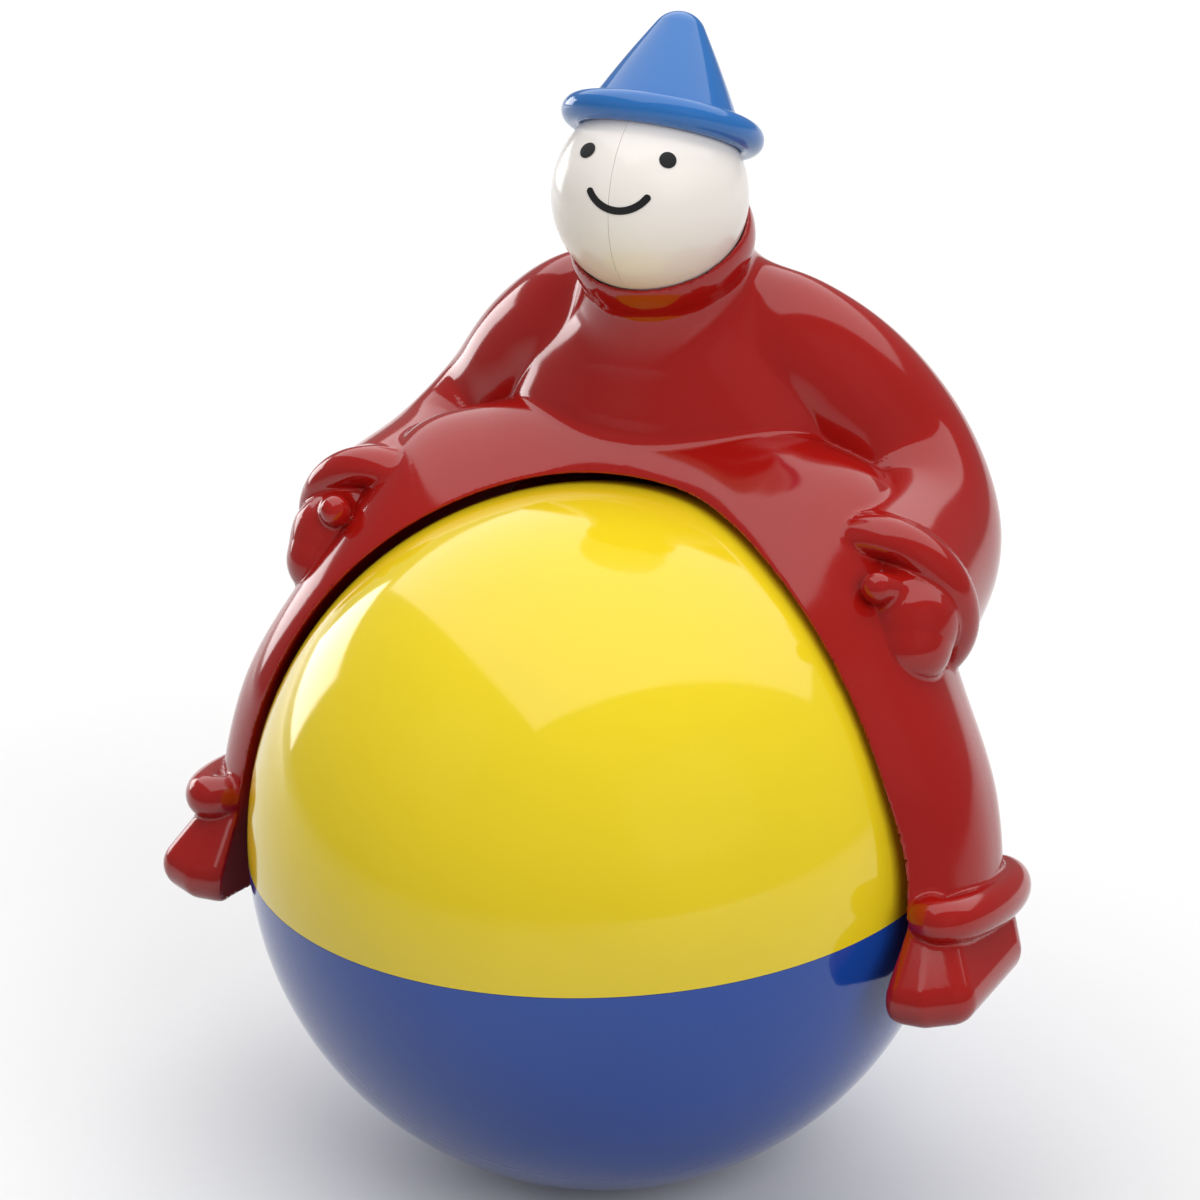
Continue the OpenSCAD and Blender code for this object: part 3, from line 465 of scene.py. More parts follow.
def half_shell(name, values, edge, turn, centre):
    """Mesh of a half shell with rounded edges, turned and set in place."""
    bevel = ("BEVEL", {
        "width": edge, "segments": 2, "limit_method": "ANGLE", "angle_limit": math.radians(BEVEL_ANGLE)})
    tree = bpy.data.node_groups.get("half_shell") or half_shell_tree()
    mesh = grown(name, tree, values, [bevel] if edge else [])
    mesh.transform(Matrix.Translation(centre) @ turn)
    mesh.set_sharp_from_angle(angle=math.radians(SHARP_ANGLE))
    # The outer skin is shaded as the true ball, so that the gloss runs on over the seam
    radius = values["Radius"]
    normals = [Vector(corner.vector) for corner in mesh.corner_normals]
    for face in mesh.polygons:
        for index, vertex in zip(face.loop_indices, face.vertices):
            out = mesh.vertices[vertex].co - centre
            on_skin = abs(out.length - radius) < radius * SKIN_SLACK
            if on_skin and face.normal.dot(out) > SKIN_COSINE * out.length:
                normals[index] = out.normalized()
    mesh.normals_split_custom_set(normals)
    return mesh


# Figure: stations in shares of the ball's radius, in the frame of the seated figure, whose origin is the
# ball's centre, with X to its left-hand side, Y to its back and Z up along its body

# Legs: angle round the ball, outer reach, front edge, back edge
LEG = np.array([
    [0, 1.25, 0.315, 0.27], [12, 1.255, 0.325, 0.27], [23, 1.275, 0.38, 0.26], [34, 1.295, 0.425, 0.25],
    [46, 1.185, 0.44, 0.24], [60, 1.14, 0.425, 0.24], [76, 1.163, 0.365, 0.265], [90, 1.18, 0.275, 0.27],
    [99, 1.19, 0.25, 0.245]])
# Reach at which the legs' sections end: at the back, and at the front by angle, lower where they run far
# forward
LEG_BACK_EDGE = 1.0
LEG_FRONT_EDGE = ((0, 12, 34, 60, 80, 92), (1.0, 0.99, 0.94, 0.94, 0.97, 1.0))
# Powers of the leg's section, outward and fore-aft: a flat crest that slopes to its edges
LEG_RISE_POWER, LEG_DEPTH_POWER = 1.25, 2.4
# Trunk: height, fore-aft middle, half width, half depth; above the last row it closes in a dome of DOME
# height
TRUNK = np.array([
    [0.9, 0.04, 0.5, 0.28], [1.0, 0.05, 0.52, 0.31], [1.1, 0.06, 0.535, 0.34], [1.2, 0.065, 0.53, 0.366],
    [1.28, 0.063, 0.515, 0.374]])
DOME = 0.395
# Neck: a tapering stub from the chest to the collar
NECK_ROOT, NECK_END = (0.0, -0.05, 1.36, 0.285), (0.0, -0.28, 1.62, 0.24)
# Arm: middle (x, y, z), girth
ARM = np.array([
    [0.14, -0.08, 1.49, 0.17], [0.3, -0.055, 1.445, 0.205], [0.46, 0.065, 1.34, 0.23],
    [0.595, 0.19, 1.175, 0.243], [0.712, 0.14, 0.965, 0.25], [0.76, -0.15, 0.748, 0.258]])
# The way the wide side of its section faces, and depth against width at shoulder and hem
ARM_OUTWARD = np.array([0.7, 0.0, 0.7])
ARM_FLAT = (0.85, 1.06)
# Rolled hem: middle, the way it faces, radius of its middle line, half thickness and half width of its roll,
# and how far the sleeve ends inside it
HEM, HEM_WAY, HEM_RADIUS = (0.77, -0.145, 0.752), (0.0, -0.744, -0.668), 0.217
LIP, LIP_WIDE, MOUTH = 0.056, 0.066, 0.03
# Hand and thumb: places and girths
WRIST, PALM, FINGERS = (0.845, -0.17, 0.82, 0.125), (0.885, -0.22, 0.7, 0.13), (0.9, -0.235, 0.635, 0.112)
THUMB_ROOT, THUMB_TIP = (0.882, -0.25, 0.775, 0.05), (0.828, -0.37, 0.765, 0.045)
# Cuff: middle, half width and half length of its middle line, girth, tip in degrees
CUFF, CUFF_SPREAD, CUFF_GIRTH, CUFF_TIP = (1.115, -0.015, -0.01), (0.07, 0.235), 0.064, 20
# Boot: corners of its core, radius of its edges, inner side of its core
BOOT = [
    (1.075, -0.15, -0.09), (1.14, 0.12, -0.07), (1.17, 0.1, -0.13), (1.135, 0.0, -0.235),
    (1.173, -0.195, -0.285), (1.11, -0.215, -0.305)]
BOOT_ROUND, BOOT_INNER = 0.075, 1.06
# Head and collar: middle of the head, its room, tip of the neck in degrees; drop and radius of the collar's
# middle line, half thickness and half height of its roll
HEAD, HEAD_ROOM, NECK_TIP = (0.0, -0.466, 1.747), 0.2775, 55
COLLAR = (0.17, 0.232, 0.03, 0.07)
# Faces that look at the ball's middle more squarely than this cosine are the core side
CORE_SIDE = 0.85
# Room that the ball needs, wider at the ankles and running on down past them
ROOM, ROOM_WIDE, ROOM_DROP = 1.029, 1.025, (-0.6, -0.1)
# Roundings of the creases where two forms meet
LEG_CREASE, NECK_CREASE, COLLAR_CREASE, LIP_CREASE, HAND_CREASE = 0.02, 0.12, 0.014, 0.012, 0.01
PALM_CREASE, THUMB_CREASE, CUFF_CREASE, BOOT_CREASE, ANKLE_CREASE = 0.02, 0.018, 0.014, 0.012, 0.03
# Crease of sleeve and body: least rounding, what it gains, the height from which it gains and over what run
SLEEVE_CREASE = (0.013, 0.045, 1.3, 0.25)
# Roundings of the edges that the hollow and the rooms for ball and head leave
HOLLOW_EDGE, BALL_EDGE, HEAD_EDGE = 0.006, 0.008, 0.01
# Two corners of the box outside which a form is left out, and of the grid that the skin is drawn on
SLEEVE_BOX = (-0.2, -0.5, 0.45), (1.16, 0.56, 1.8)
HAND_BOX = (0.6, -0.52, 0.4), (1.14, 0.1, 1.06)
CUFF_BOX = (0.85, -0.42, -0.3), (1.4, 0.42, 0.28)
BOOT_BOX = (0.85, -0.46, -0.6), (1.45, 0.36, 0.12)
GRID_BOX = (-0.03, -0.52, -0.46), (1.32, 0.52, 1.88)
# A distance that is far from everything, and a divisor in place of nought
FAR, TINY = 9.0, 1e-6
# Points worked out at a time, to spare memory: against a line, and on the grid
LINE_PART, GRID_PART = 60000, 200000


def bend(rows, t):
    """Smooth curve through rows at places t, counted in rows."""
    last = len(rows) - 1
    i = np.clip(np.floor(t).astype(int), 0, last - 1)
    f = (t - i)[:, None]
    b, c = rows[i], rows[i + 1]
    a = np.where((i > 0)[:, None], rows[np.maximum(i - 1, 0)], 2 * b - c)
    d = np.where((i + 2 <= last)[:, None], rows[np.minimum(i + 2, last)], 2 * c - b)
    return 0.5 * (
        2 * b + (c - a) * f + (2 * a - 5 * b + 4 * c - d) * f ** 2 + (3 * b - a - 3 * c + d) * f ** 3)


def evened(rows, reach):
    """Rows averaged with their neighbours, with the two ends held."""
    padded = np.pad(rows, ((reach, reach), (0, 0)), mode="reflect", reflect_type="odd")
    weights = np.ones(2 * reach + 1) / (2 * reach + 1)
    return np.stack([np.convolve(column, weights, mode="valid") for column in padded.T], 1)


def columns_at(places, key, columns):
    """Columns of a table read at places along its key."""
    return [np.interp(places, key, column) for column in columns.T]


def merge(a, b, round_):
    """Union of two distances with a rounded crease."""
    h = np.maximum(round_ - np.abs(a - b), 0) / round_
    return np.minimum(a, b) - h * h * round_ / 4


def cut(a, b, round_):
    """First distance without the second, with a rounded edge."""
    return -merge(-a, b, round_)


def ellipse_distance(a, b, wide, deep):
    """Distance to an ellipse from offsets along its axes."""
    u, v = a / wide, b / deep
    q = np.maximum(np.hypot(u, v), TINY)
    return (q - 1) / np.maximum(np.hypot(u / wide, v / deep) / q, TINY)


def unit(v):
    """Vectors of length 1."""
    return v / np.linalg.norm(v, axis=-1, keepdims=True)


class Skin:
    """Distance to the figure's surface, for points with x at or right of its seam."""

    def __init__(self, wall):
        self.wall = wall
        self.leg_rows = bend(LEG, np.linspace(0, len(LEG) - 1, 3000))
        self.trunk_rows = bend(TRUNK, np.linspace(0, len(TRUNK) - 1, 1000))
        steps = np.linspace(0, len(ARM) - 1, 1201)
        rows = evened(bend(ARM, steps), 60)
        middle, girth = rows[:, :3], rows[:, 3:]
        way = unit(np.gradient(middle, axis=0))
        out = unit(ARM_OUTWARD - way * (way @ ARM_OUTWARD)[:, None])
        flat = np.interp(steps, (0, steps[-1]), ARM_FLAT)[:, None]
        run = np.linalg.norm(np.diff(middle, axis=0), axis=1)
        self.arm_run = np.concatenate([[0], np.cumsum(run)])
        self.arm = {
            "middle": middle, "girth": girth, "way": way, "out": out, "side": np.cross(way, out),
            "flat": flat, "turn": np.gradient(way, self.arm_run, axis=0)}
        tip = math.radians(CUFF_TIP)
        self.cuff_up = np.array([0, -math.sin(tip), math.cos(tip)])
        self.cuff_axes = (
            np.array([CUFF_SPREAD[0], 0, 0]), CUFF_SPREAD[1] * np.array([0, math.cos(tip), math.sin(tip)]))
        self.hem_way = unit(np.array(HEM_WAY))
        hem_out = unit(np.cross(self.hem_way, (0, 0, 1)))
        self.hem_axes = (HEM_RADIUS * hem_out, HEM_RADIUS * np.cross(self.hem_way, hem_out))
        self.boot = hull_faces([*BOOT, *((BOOT_INNER, y, z) for _, y, z in BOOT)])
        neck = math.radians(NECK_TIP)
        self.neck = np.array([0, -math.sin(neck), math.cos(neck)])

    def torso_distance(self, p):
        """Distance to the domed trunk with its neck."""
        y, wide, deep = columns_at(p[:, 2], self.trunk_rows[:, 0], self.trunk_rows[:, 1:])
        u, v = p[:, 0] / wide, (p[:, 1] - y) / deep
        w = np.maximum(p[:, 2] - TRUNK[-1, 0], 0) / DOME
        q = np.maximum(np.sqrt(u * u + v * v + w * w), TINY)
        slope = np.sqrt((u / wide) ** 2 + (v / deep) ** 2 + (w / DOME) ** 2) / q
        return merge((q - 1) / np.maximum(slope, TINY), taper(p, NECK_ROOT, NECK_END), NECK_CREASE)

    def leg_distance(self, p):
        """Distance to the leg, a section of two powers that runs round the ball."""
        x = np.abs(p[:, 0])
        reach = np.hypot(x, p[:, 2])
        angle = np.degrees(np.arctan2(x, p[:, 2]))
        outer, front, back = columns_at(angle, self.leg_rows[:, 0], self.leg_rows[:, 1:])
        half = (front + back) / 2
        aft = p[:, 1] - (back - front) / 2
        edge = np.where(aft < 0, np.interp(angle, *LEG_FRONT_EDGE), LEG_BACK_EDGE)
        rise = outer - edge
        u = np.maximum(reach - edge, 0) / rise
        v = np.abs(aft) / half
        a, b = LEG_RISE_POWER, LEG_DEPTH_POWER
        slope = np.hypot(a * u ** (a - 1) / rise, b * v ** (b - 1) / half)
        return (u ** a + v ** b - 1) / np.maximum(slope, 1 / half)

    def arm_at(self, run, *names):
        """Named parts of the arm's table at places along its run."""
        return [np.stack(columns_at(run, self.arm_run, self.arm[name]), 1) for name in names]

    def sleeve_distance(self, p):
        """Distance to the sleeve with its rolled hem round a shallow mouth."""
        # The nearest place on the arm's middle line: a coarse search, then short steps along the line
        coarse, longest, least_bend = 8, 0.02, 0.2
        run = self.arm_run[nearest(p, self.arm["middle"][::coarse]) * coarse]
        for _ in range(3):
            middle, way, turn = self.arm_at(run, "middle", "way", "turn")
            v = p - middle
            ahead = (v * way).sum(1) / np.maximum(1 - (v * turn).sum(1), least_bend)
            run = np.clip(run + np.clip(ahead, -longest, longest), 0, self.arm_run[-1])
        middle, out, side, girth, flat = self.arm_at(run, "middle", "out", "side", "girth", "flat")
        v = p - middle
        wide = girth[:, 0]
        d = ellipse_distance((v * out).sum(1), (v * side).sum(1), wide, wide * flat[:, 0])
        past = (p - HEM) @ self.hem_way + MOUTH
        off = ring_offset(p, np.array(HEM), *self.hem_axes)
        along = off @ self.hem_way
        across = np.sqrt(np.maximum((off ** 2).sum(1) - along ** 2, 0))
        return merge(np.maximum(d, past), ellipse_distance(across, along, LIP, LIP_WIDE), LIP_CREASE)

    def hand_distance(self, p):
        """Distance to the fist and its thumb."""
        hand = merge(taper(p, WRIST, PALM), taper(p, PALM, FINGERS), PALM_CREASE)
        return merge(hand, taper(p, THUMB_ROOT, THUMB_TIP), THUMB_CREASE)

    def cuff_distance(self, p):
        """Distance to the rolled cuff over the boot."""
        return np.linalg.norm(ring_offset(p, np.array(CUFF), *self.cuff_axes), axis=1) - CUFF_GIRTH

    def boot_distance(self, p):
        """Distance to the boot."""
        return hull_distance(p, self.boot) - BOOT_ROUND

    def shell(self, p):
        """Distance to the hollow half."""
        leg = np.maximum(self.leg_distance(p), -((p - CUFF) @ self.cuff_up))
        torso = self.torso_distance(p)
        d = merge(leg, torso, LEG_CREASE)
        least, gain, start, run = SLEEVE_CREASE
        shoulder = least + gain * np.clip((p[:, 2] - start) / run, 0, 1)
        d = merge(d, near(p, *SLEEVE_BOX, self.sleeve_distance), shoulder)
        d = merge(d, near(p, *HAND_BOX, self.hand_distance), HAND_CREASE)
        d = merge(d, near(p, *CUFF_BOX, self.cuff_distance), CUFF_CREASE)
        d = merge(d, near(p, *BOOT_BOX, self.boot_distance), BOOT_CREASE)
        v = p - HEAD
        up = v @ self.neck
        gap = np.linalg.norm(v, axis=1)
        round_ = np.sqrt(np.maximum(gap ** 2 - up ** 2, 0))
        drop, radius, thick, high = COLLAR
        d = merge(d, ellipse_distance(round_ - radius, up + drop, thick, high), COLLAR_CREASE)
        # Hollow of the trunk, kept clear of the cup under the head
        hollow = np.maximum(torso + self.wall, HEAD_ROOM + self.wall - gap)
        ball = np.linalg.norm(p, axis=1) - ROOM
        low = p[:, 2] - np.clip(p[:, 2], *ROOM_DROP)
        ankle = np.sqrt((p[:, 0] / ROOM_WIDE) ** 2 + p[:, 1] ** 2 + low ** 2) - ROOM
        d = cut(d, hollow, HOLLOW_EDGE)
        d = cut(d, merge(ball, ankle, ANKLE_CREASE), BALL_EDGE)
        return cut(d, gap - HEAD_ROOM, HEAD_EDGE)

    def sense(self, p):
        """Distance, and the direction in which it grows, from four points round each place."""
        step = 0.0012
        corners = np.array([(1, -1, -1), (-1, -1, 1), (-1, 1, -1), (1, 1, 1)])
        values = np.stack([self.shell(p + step * c) for c in corners], 1)
        return values.mean(1), values @ corners / (4 * step)


def near(p, low, high, distance):
    """Distance worked out only inside a box; elsewhere it is far."""
    inside = ((p > low) & (p < high)).all(1)
    d = np.full(len(p), FAR)
    if inside.any():
        d[inside] = distance(p[inside])
    return d


def nearest(p, line):
    """For each point, the row of a line that is nearest to it."""
    found = np.empty(len(p), int)
    for k in range(0, len(p), LINE_PART):
        part = p[k:k + LINE_PART]
        found[k:k + LINE_PART] = ((line ** 2).sum(1) - 2 * part @ line.T).argmin(1)
    return found


def taper(p, start, end):
    """Distance to a rounded bar between two places with their own girths."""
    a, b = np.array(start[:3]), np.array(end[:3])
    t = np.clip((p - a) @ (b - a) / ((b - a) @ (b - a)), 0, 1)
    return np.linalg.norm(p - a - t[:, None] * (b - a), axis=1) - (start[3] + t * (end[3] - start[3]))


def ring_offset(p, middle, u, v):
    """Offset from the nearest place of an ellipse in space with half axes u and v."""
    stations, longest, least_turn = 48, 0.1, 1e-3
    v0 = p - middle
    angles = np.linspace(0, 2 * np.pi, stations, endpoint=False)
    a = angles[nearest(v0, np.outer(np.cos(angles), u) + np.outer(np.sin(angles), v))]
    for _ in range(3):
        c, s = np.cos(a)[:, None], np.sin(a)[:, None]
        gap = v0 - c * u - s * v
        way = c * v - s * u
        turn = (way ** 2).sum(1) + (gap * (c * u + s * v)).sum(1)
        a = a + np.clip((gap * way).sum(1) / np.maximum(turn, least_turn), -longest, longest)
    return v0 - np.cos(a)[:, None] * u - np.sin(a)[:, None] * v


def hull_faces(points):
    """Triangles of the convex hull of a few points, facing out."""
    bm = bmesh.new()
    for point in points:
        bm.verts.new(point)
    made = bmesh.ops.convex_hull(bm, input=bm.verts)
    inner = [g for g in made["geom_interior"] if isinstance(g, bmesh.types.BMVert)]
    bmesh.ops.delete(bm, geom=inner, context="VERTS")
    bmesh.ops.triangulate(bm, faces=bm.faces)
    bmesh.ops.recalc_face_normals(bm, faces=bm.faces)
    faces = [np.array([v.co for v in f.verts]) for f in bm.faces]
    bm.free()
    return faces


def hull_distance(p, faces):
    """Distance to a convex hull, below zero inside it."""
    inside = np.full(len(p), -FAR)
    outside = np.full(len(p), FAR)
    for corners in faces:
        normal = unit(np.cross(corners[1] - corners[0], corners[2] - corners[0]))
        height = (p - corners[0]) @ normal
        inside = np.maximum(inside, height)
        over = np.ones(len(p), bool)
        beside = np.full(len(p), FAR)
        for a, b in zip(corners, np.roll(corners, -1, 0)):
            edge = b - a
            v = p - a
            over &= v @ np.cross(normal, edge) >= 0
            t = np.clip(v @ edge / (edge @ edge), 0, 1)
            beside = np.minimum(beside, np.linalg.norm(v - t[:, None] * edge, axis=1))
        outside = np.minimum(outside, np.where(over, np.abs(height), beside))
    return np.where(inside < 0, inside, outside)


def draw_skin(skin, cell):
    """Points and quads of the zero level of the skin's distance, drawn on a grid."""
    low, high = np.array(GRID_BOX)
    block = 8
    count = (np.ceil((high - low) / (cell * block)).astype(int)) * block
    axes = [low[i] + cell * np.arange(count[i] + 1) for i in range(3)]
    # Only blocks near the skin are worked out
    middles = [a[:-1:block] + cell * block / 2 for a in axes]
    far = np.stack(np.meshgrid(*middles, indexing="ij"), -1).reshape(-1, 3)
    rough = skin.shell(far).reshape([len(m) for m in middles])
    field = np.repeat(np.repeat(np.repeat(np.sign(rough), block, 0), block, 1), block, 2)
    field = np.pad(field, ((0, 1), (0, 1), (0, 1)), mode="edge")
    wanted = np.zeros(field.shape, bool)
    reach_of_block = cell * block * 1.5
    for corner in np.argwhere(np.abs(rough) < reach_of_block) * block:
        wanted[tuple(slice(start, start + block + 1) for start in corner)] = True
    spots = np.argwhere(wanted)
    parts = [spots[k:k + GRID_PART] for k in range(0, len(spots), GRID_PART)]
    field[wanted] = np.concatenate([skin.shell(low + cell * part) for part in parts])
    full = field < 0
    crossed = np.zeros(np.array(field.shape) - 1, np.int8)
    corners = [(i, j, k) for i in (0, 1) for j in (0, 1) for k in (0, 1)]
    size = crossed.shape
    for i, j, k in corners:
        crossed += full[i:i + size[0], j:j + size[1], k:k + size[2]]
    cells = np.argwhere((crossed > 0) & (crossed < len(corners)))
    index = np.full(size, -1)
    index[tuple(cells.T)] = np.arange(len(cells))
    # Each cell's point is the middle of the places where its edges meet the level
    total = np.zeros((len(cells), 3))
    hits = np.zeros(len(cells))
    for axis in range(3):
        step = np.eye(3, dtype=int)[axis]
        for base in (c for c in corners if c[axis] == 0):
            a = cells + base
            d0, d1 = field[tuple(a.T)], field[tuple((a + step).T)]
            hit = (d0 < 0) != (d1 < 0)
            t = np.where(hit, d0 / np.where(hit, d0 - d1, 1), 0)
            total += np.where(hit[:, None], a + t[:, None] * step, 0)
            hits += hit
    points = low + cell * total / hits[:, None]
    # A quad round each grid edge that crosses the level
    quads = []
    for axis in range(3):
        one, two = np.roll(np.eye(3, dtype=int), -axis - 1, 0)[:2]
        start = full[tuple(slice(0, -1) if i == axis else slice(None) for i in range(3))]
        stop = full[tuple(slice(1, None) if i == axis else slice(None) for i in range(3))]
        at = np.argwhere(start != stop)
        room = ((at > 0) & (at < np.array(size))) | (np.arange(3) == axis)
        at = at[room.all(1)]
        quad = np.stack([index[tuple((at - back).T)] for back in (one + two, two, 0 * one, one)], 1)
        turned = ~start[tuple(at.T)]
        quad[turned] = quad[turned][:, ::-1]
        quads.append(quad)
    # The points are drawn onto the level, by less than a cell at a time
    least_slope, longest = 0.05, 0.6 * cell
    for _ in range(2):
        value, slope = skin.sense(points)
        move = -value[:, None] * slope / np.maximum((slope ** 2).sum(1), least_slope)[:, None]
        reach = np.linalg.norm(move, axis=1, keepdims=True)
        points = points + move * np.minimum(1, longest / np.maximum(reach, 1e-9))
    return points, np.concatenate(quads)


def lean_matrix(sizes):
    """From the figure's own directions to the toy's."""
    return Matrix.Rotation(-sizes.tip, 4, "X")


def figure_half(name, sizes, ball_radius, points, quads, skin, side):
    """Mesh of one half of the figure, cut at its seam and closed there."""
    mesh = bpy.data.meshes.new(name)
    mesh.from_pydata(points.tolist(), [], quads.tolist())
    bm = bmesh.new()
    bm.from_mesh(mesh)
    seam = sizes.seam / ball_radius
    bmesh.ops.bisect_plane(
        bm, geom=[*bm.verts, *bm.edges, *bm.faces], dist=1e-6, plane_co=(seam, 0, 0), plane_no=(1, 0, 0),
        clear_inner=True)
    loose = [v for v in bm.verts if not v.link_faces]
    bmesh.ops.delete(bm, geom=loose, context="VERTS")
    for face in bm.faces:
        face.smooth = True
    rim = [e for e in bm.edges if e.is_boundary]
    cap = bmesh.ops.triangle_fill(bm, use_beauty=True, edges=rim, normal=(-1, 0, 0))["geom"]
    for face in (g for g in cap if isinstance(g, bmesh.types.BMFace)):
        face.smooth = False
        face.normal_update()
        if face.normal.x > 0:
            face.normal_flip()
    for edge in rim:
        edge.smooth = False
    bm.to_mesh(mesh)
    bm.free()
    # Each corner is shaded by the skin's own direction, and the cap at the seam as the flat that it is
    spots = np.empty(len(mesh.vertices) * 3)
    mesh.vertices.foreach_get("co", spots)
    corner = np.empty(len(mesh.loops), int)
    mesh.loops.foreach_get("vertex_index", corner)
    loops = unit(skin.sense(spots.reshape(-1, 3))[1])[corner]
    for face in mesh.polygons:
        if not face.use_smooth:
            loops[list(face.loop_indices)] = (-1, 0, 0)
    # From the figure's own frame to the toy's
    lean = lean_matrix(sizes)
    loops = loops @ np.array(lean.to_3x3()).T
    mesh.transform(Matrix.Translation(BALL_CENTRE) @ lean @ Matrix.Scale(ball_radius, 4))
    if side < 0:
        # The other half is the mirror image, with the corners of each face in the other order
        mesh.transform(Matrix.Diagonal((-1, 1, 1, 1)))
        mesh.flip_normals()
        turned = np.empty_like(loops)
        for face in mesh.polygons:
            first, number = face.loop_start, face.loop_total
            order = [first, *range(first + number - 1, first, -1)]
            turned[first:first + number] = loops[order]
        loops = turned * (-1, 1, 1)
    mesh.update()
    mesh.normals_split_custom_set(loops.tolist())
    return mesh


def eye_tree():
    """Two round spots of ink laid on the head."""
    tree, given = new_tree("eye_prints", {
        "Head radius": HEAD_RADIUS, "Eye radius": 0.0014, "Ink": 0.00012, "Spread": 0.45, "Rise": 0.22,
        "Turn": 0.09, "Far wide": 1.0, "Far tall": 1.0, "Material": None})
    far_size = add(tree, "ShaderNodeCombineXYZ", {"X": given["Far wide"], "Y": given["Far tall"], "Z": 1.0})
    spot = add(
        tree, "GeometryNodeMeshCylinder",
        {"Vertices": 64, "Side Segments": 1, "Fill Segments": 8, "Radius": given["Eye radius"],
         "Depth": given["Ink"]})
    lift = add(tree, "ShaderNodeCombineXYZ", {"Z": given["Head radius"]})
    tip = reckon(tree, "SUBTRACT", math.pi / 2, given["Rise"])
    spots = []
    for side, size in ((-1.0, far_size.outputs[0]), (1.0, (1.0, 1.0, 1.0))):
        # The cylinder looks up; it is tipped to the front of the head and turned to its side
        aside = reckon(tree, "MULTIPLY_ADD", given["Spread"], side, given["Turn"])
        turn = add(tree, "ShaderNodeCombineXYZ", {"X": tip, "Z": aside})
        out = add(
            tree, "GeometryNodeTransform",
            {"Geometry": spot.outputs["Mesh"], "Translation": lift.outputs[0], "Scale": size})
        set_at = {"Geometry": out.outputs[0], "Rotation": turn.outputs[0]}
        spots.append(add(tree, "GeometryNodeTransform", set_at).outputs[0])
    pair = add(tree, "GeometryNodeJoinGeometry", {0: spots[0]})
    tree.links.new(spots[1], pair.inputs[0])
    # The flat spots take the head's roundness: points beyond its radius lie an ink's thickness off it, the
    # others on it
    here = add(tree, "GeometryNodeInputPosition").outputs[0]
    reach = add(tree, "ShaderNodeVectorMath", {0: here}, operation="LENGTH")
    far = add(
        tree, "FunctionNodeCompare", {"A": reach.outputs["Value"], "B": given["Head radius"]},
        operation="GREATER_THAN")
    height = reckon(tree, "MULTIPLY_ADD", far.outputs[0], given["Ink"], given["Head radius"])
    way = add(tree, "ShaderNodeVectorMath", {0: here}, operation="NORMALIZE")
    laid = add(tree, "ShaderNodeVectorMath", {0: way.outputs[0], "Scale": height}, operation="SCALE")
    bent = add(tree, "GeometryNodeSetPosition", {"Geometry": pair.outputs[0], "Position": laid.outputs[0]})
    show_result(tree, bent.outputs[0], given["Material"])
    return tree


def mouth_mesh(sizes):
    """Curved line with round ends, laid on the head."""
    half, dip, stroke = sizes.mouth_half, sizes.mouth_dip, sizes.stroke
    bow = (half ** 2 + dip ** 2) / (2 * dip)
    sweep = math.asin(half / bow)
    middle = bow * math.cos(sweep) - sizes.mouth_drop
    reach = sweep + stroke / bow
    points, faces = [], []
    steps, across = 96, 8
    for height in (sizes.ink, -sizes.ink):
        for i in range(steps + 1):
            # Stations crowd at the ends, where the line rounds off
            a = -reach * math.cos(math.pi * i / steps)
            over = max(abs(a) - sweep, 0) * bow / stroke
            wide = stroke * math.sqrt(max(1 - over ** 2, 0))
            for j in range(across + 1):
                r = bow + wide * (2 * j / across - 1)
                x, z = r * math.sin(a), middle - r * math.cos(a)
                spot = Vector((x, -math.sqrt(sizes.radius ** 2 - x * x - z * z), z))
                points.append(spot * (1 + height / sizes.radius))
    row = across + 1
    layer = (steps + 1) * row
    for i in range(steps):
        for j in range(across):
            a = i * row + j
            faces.append((a, a + 1, a + row + 1, a + row))
            faces.append((layer + a, layer + a + row, layer + a + row + 1, layer + a + 1))
        for j in (0, across):
            a = i * row + j
            faces.append((a, a + row, layer + a + row, layer + a))
    mesh = smooth_mesh("mouth_print", points, faces)
    bm = bmesh.new()
    bm.from_mesh(mesh)
    bmesh.ops.remove_doubles(bm, verts=bm.verts, dist=1e-7)
    bmesh.ops.dissolve_degenerate(bm, edges=bm.edges, dist=1e-8)
    bmesh.ops.holes_fill(bm, edges=[e for e in bm.edges if e.is_boundary])
    bmesh.ops.recalc_face_normals(bm, faces=bm.faces)
    bm.to_mesh(mesh)
    bm.free()
    mesh.transform(Matrix.Rotation(sizes.turn, 4, "Z"))
    mesh.set_sharp_from_angle(angle=math.radians(SHARP_ANGLE))
    return mesh


# Hat: stations round its tip and inside it, and down its flank and round its brim; where the brim's roll ends
# under it; least and greatest room round the head, as shares of its radius
HAT_TIP_STEPS, HAT_STEPS = 16, 40
HAT_ROLL_END = -0.72 * math.pi
HAT_ROOM = (1.004, 1.02)


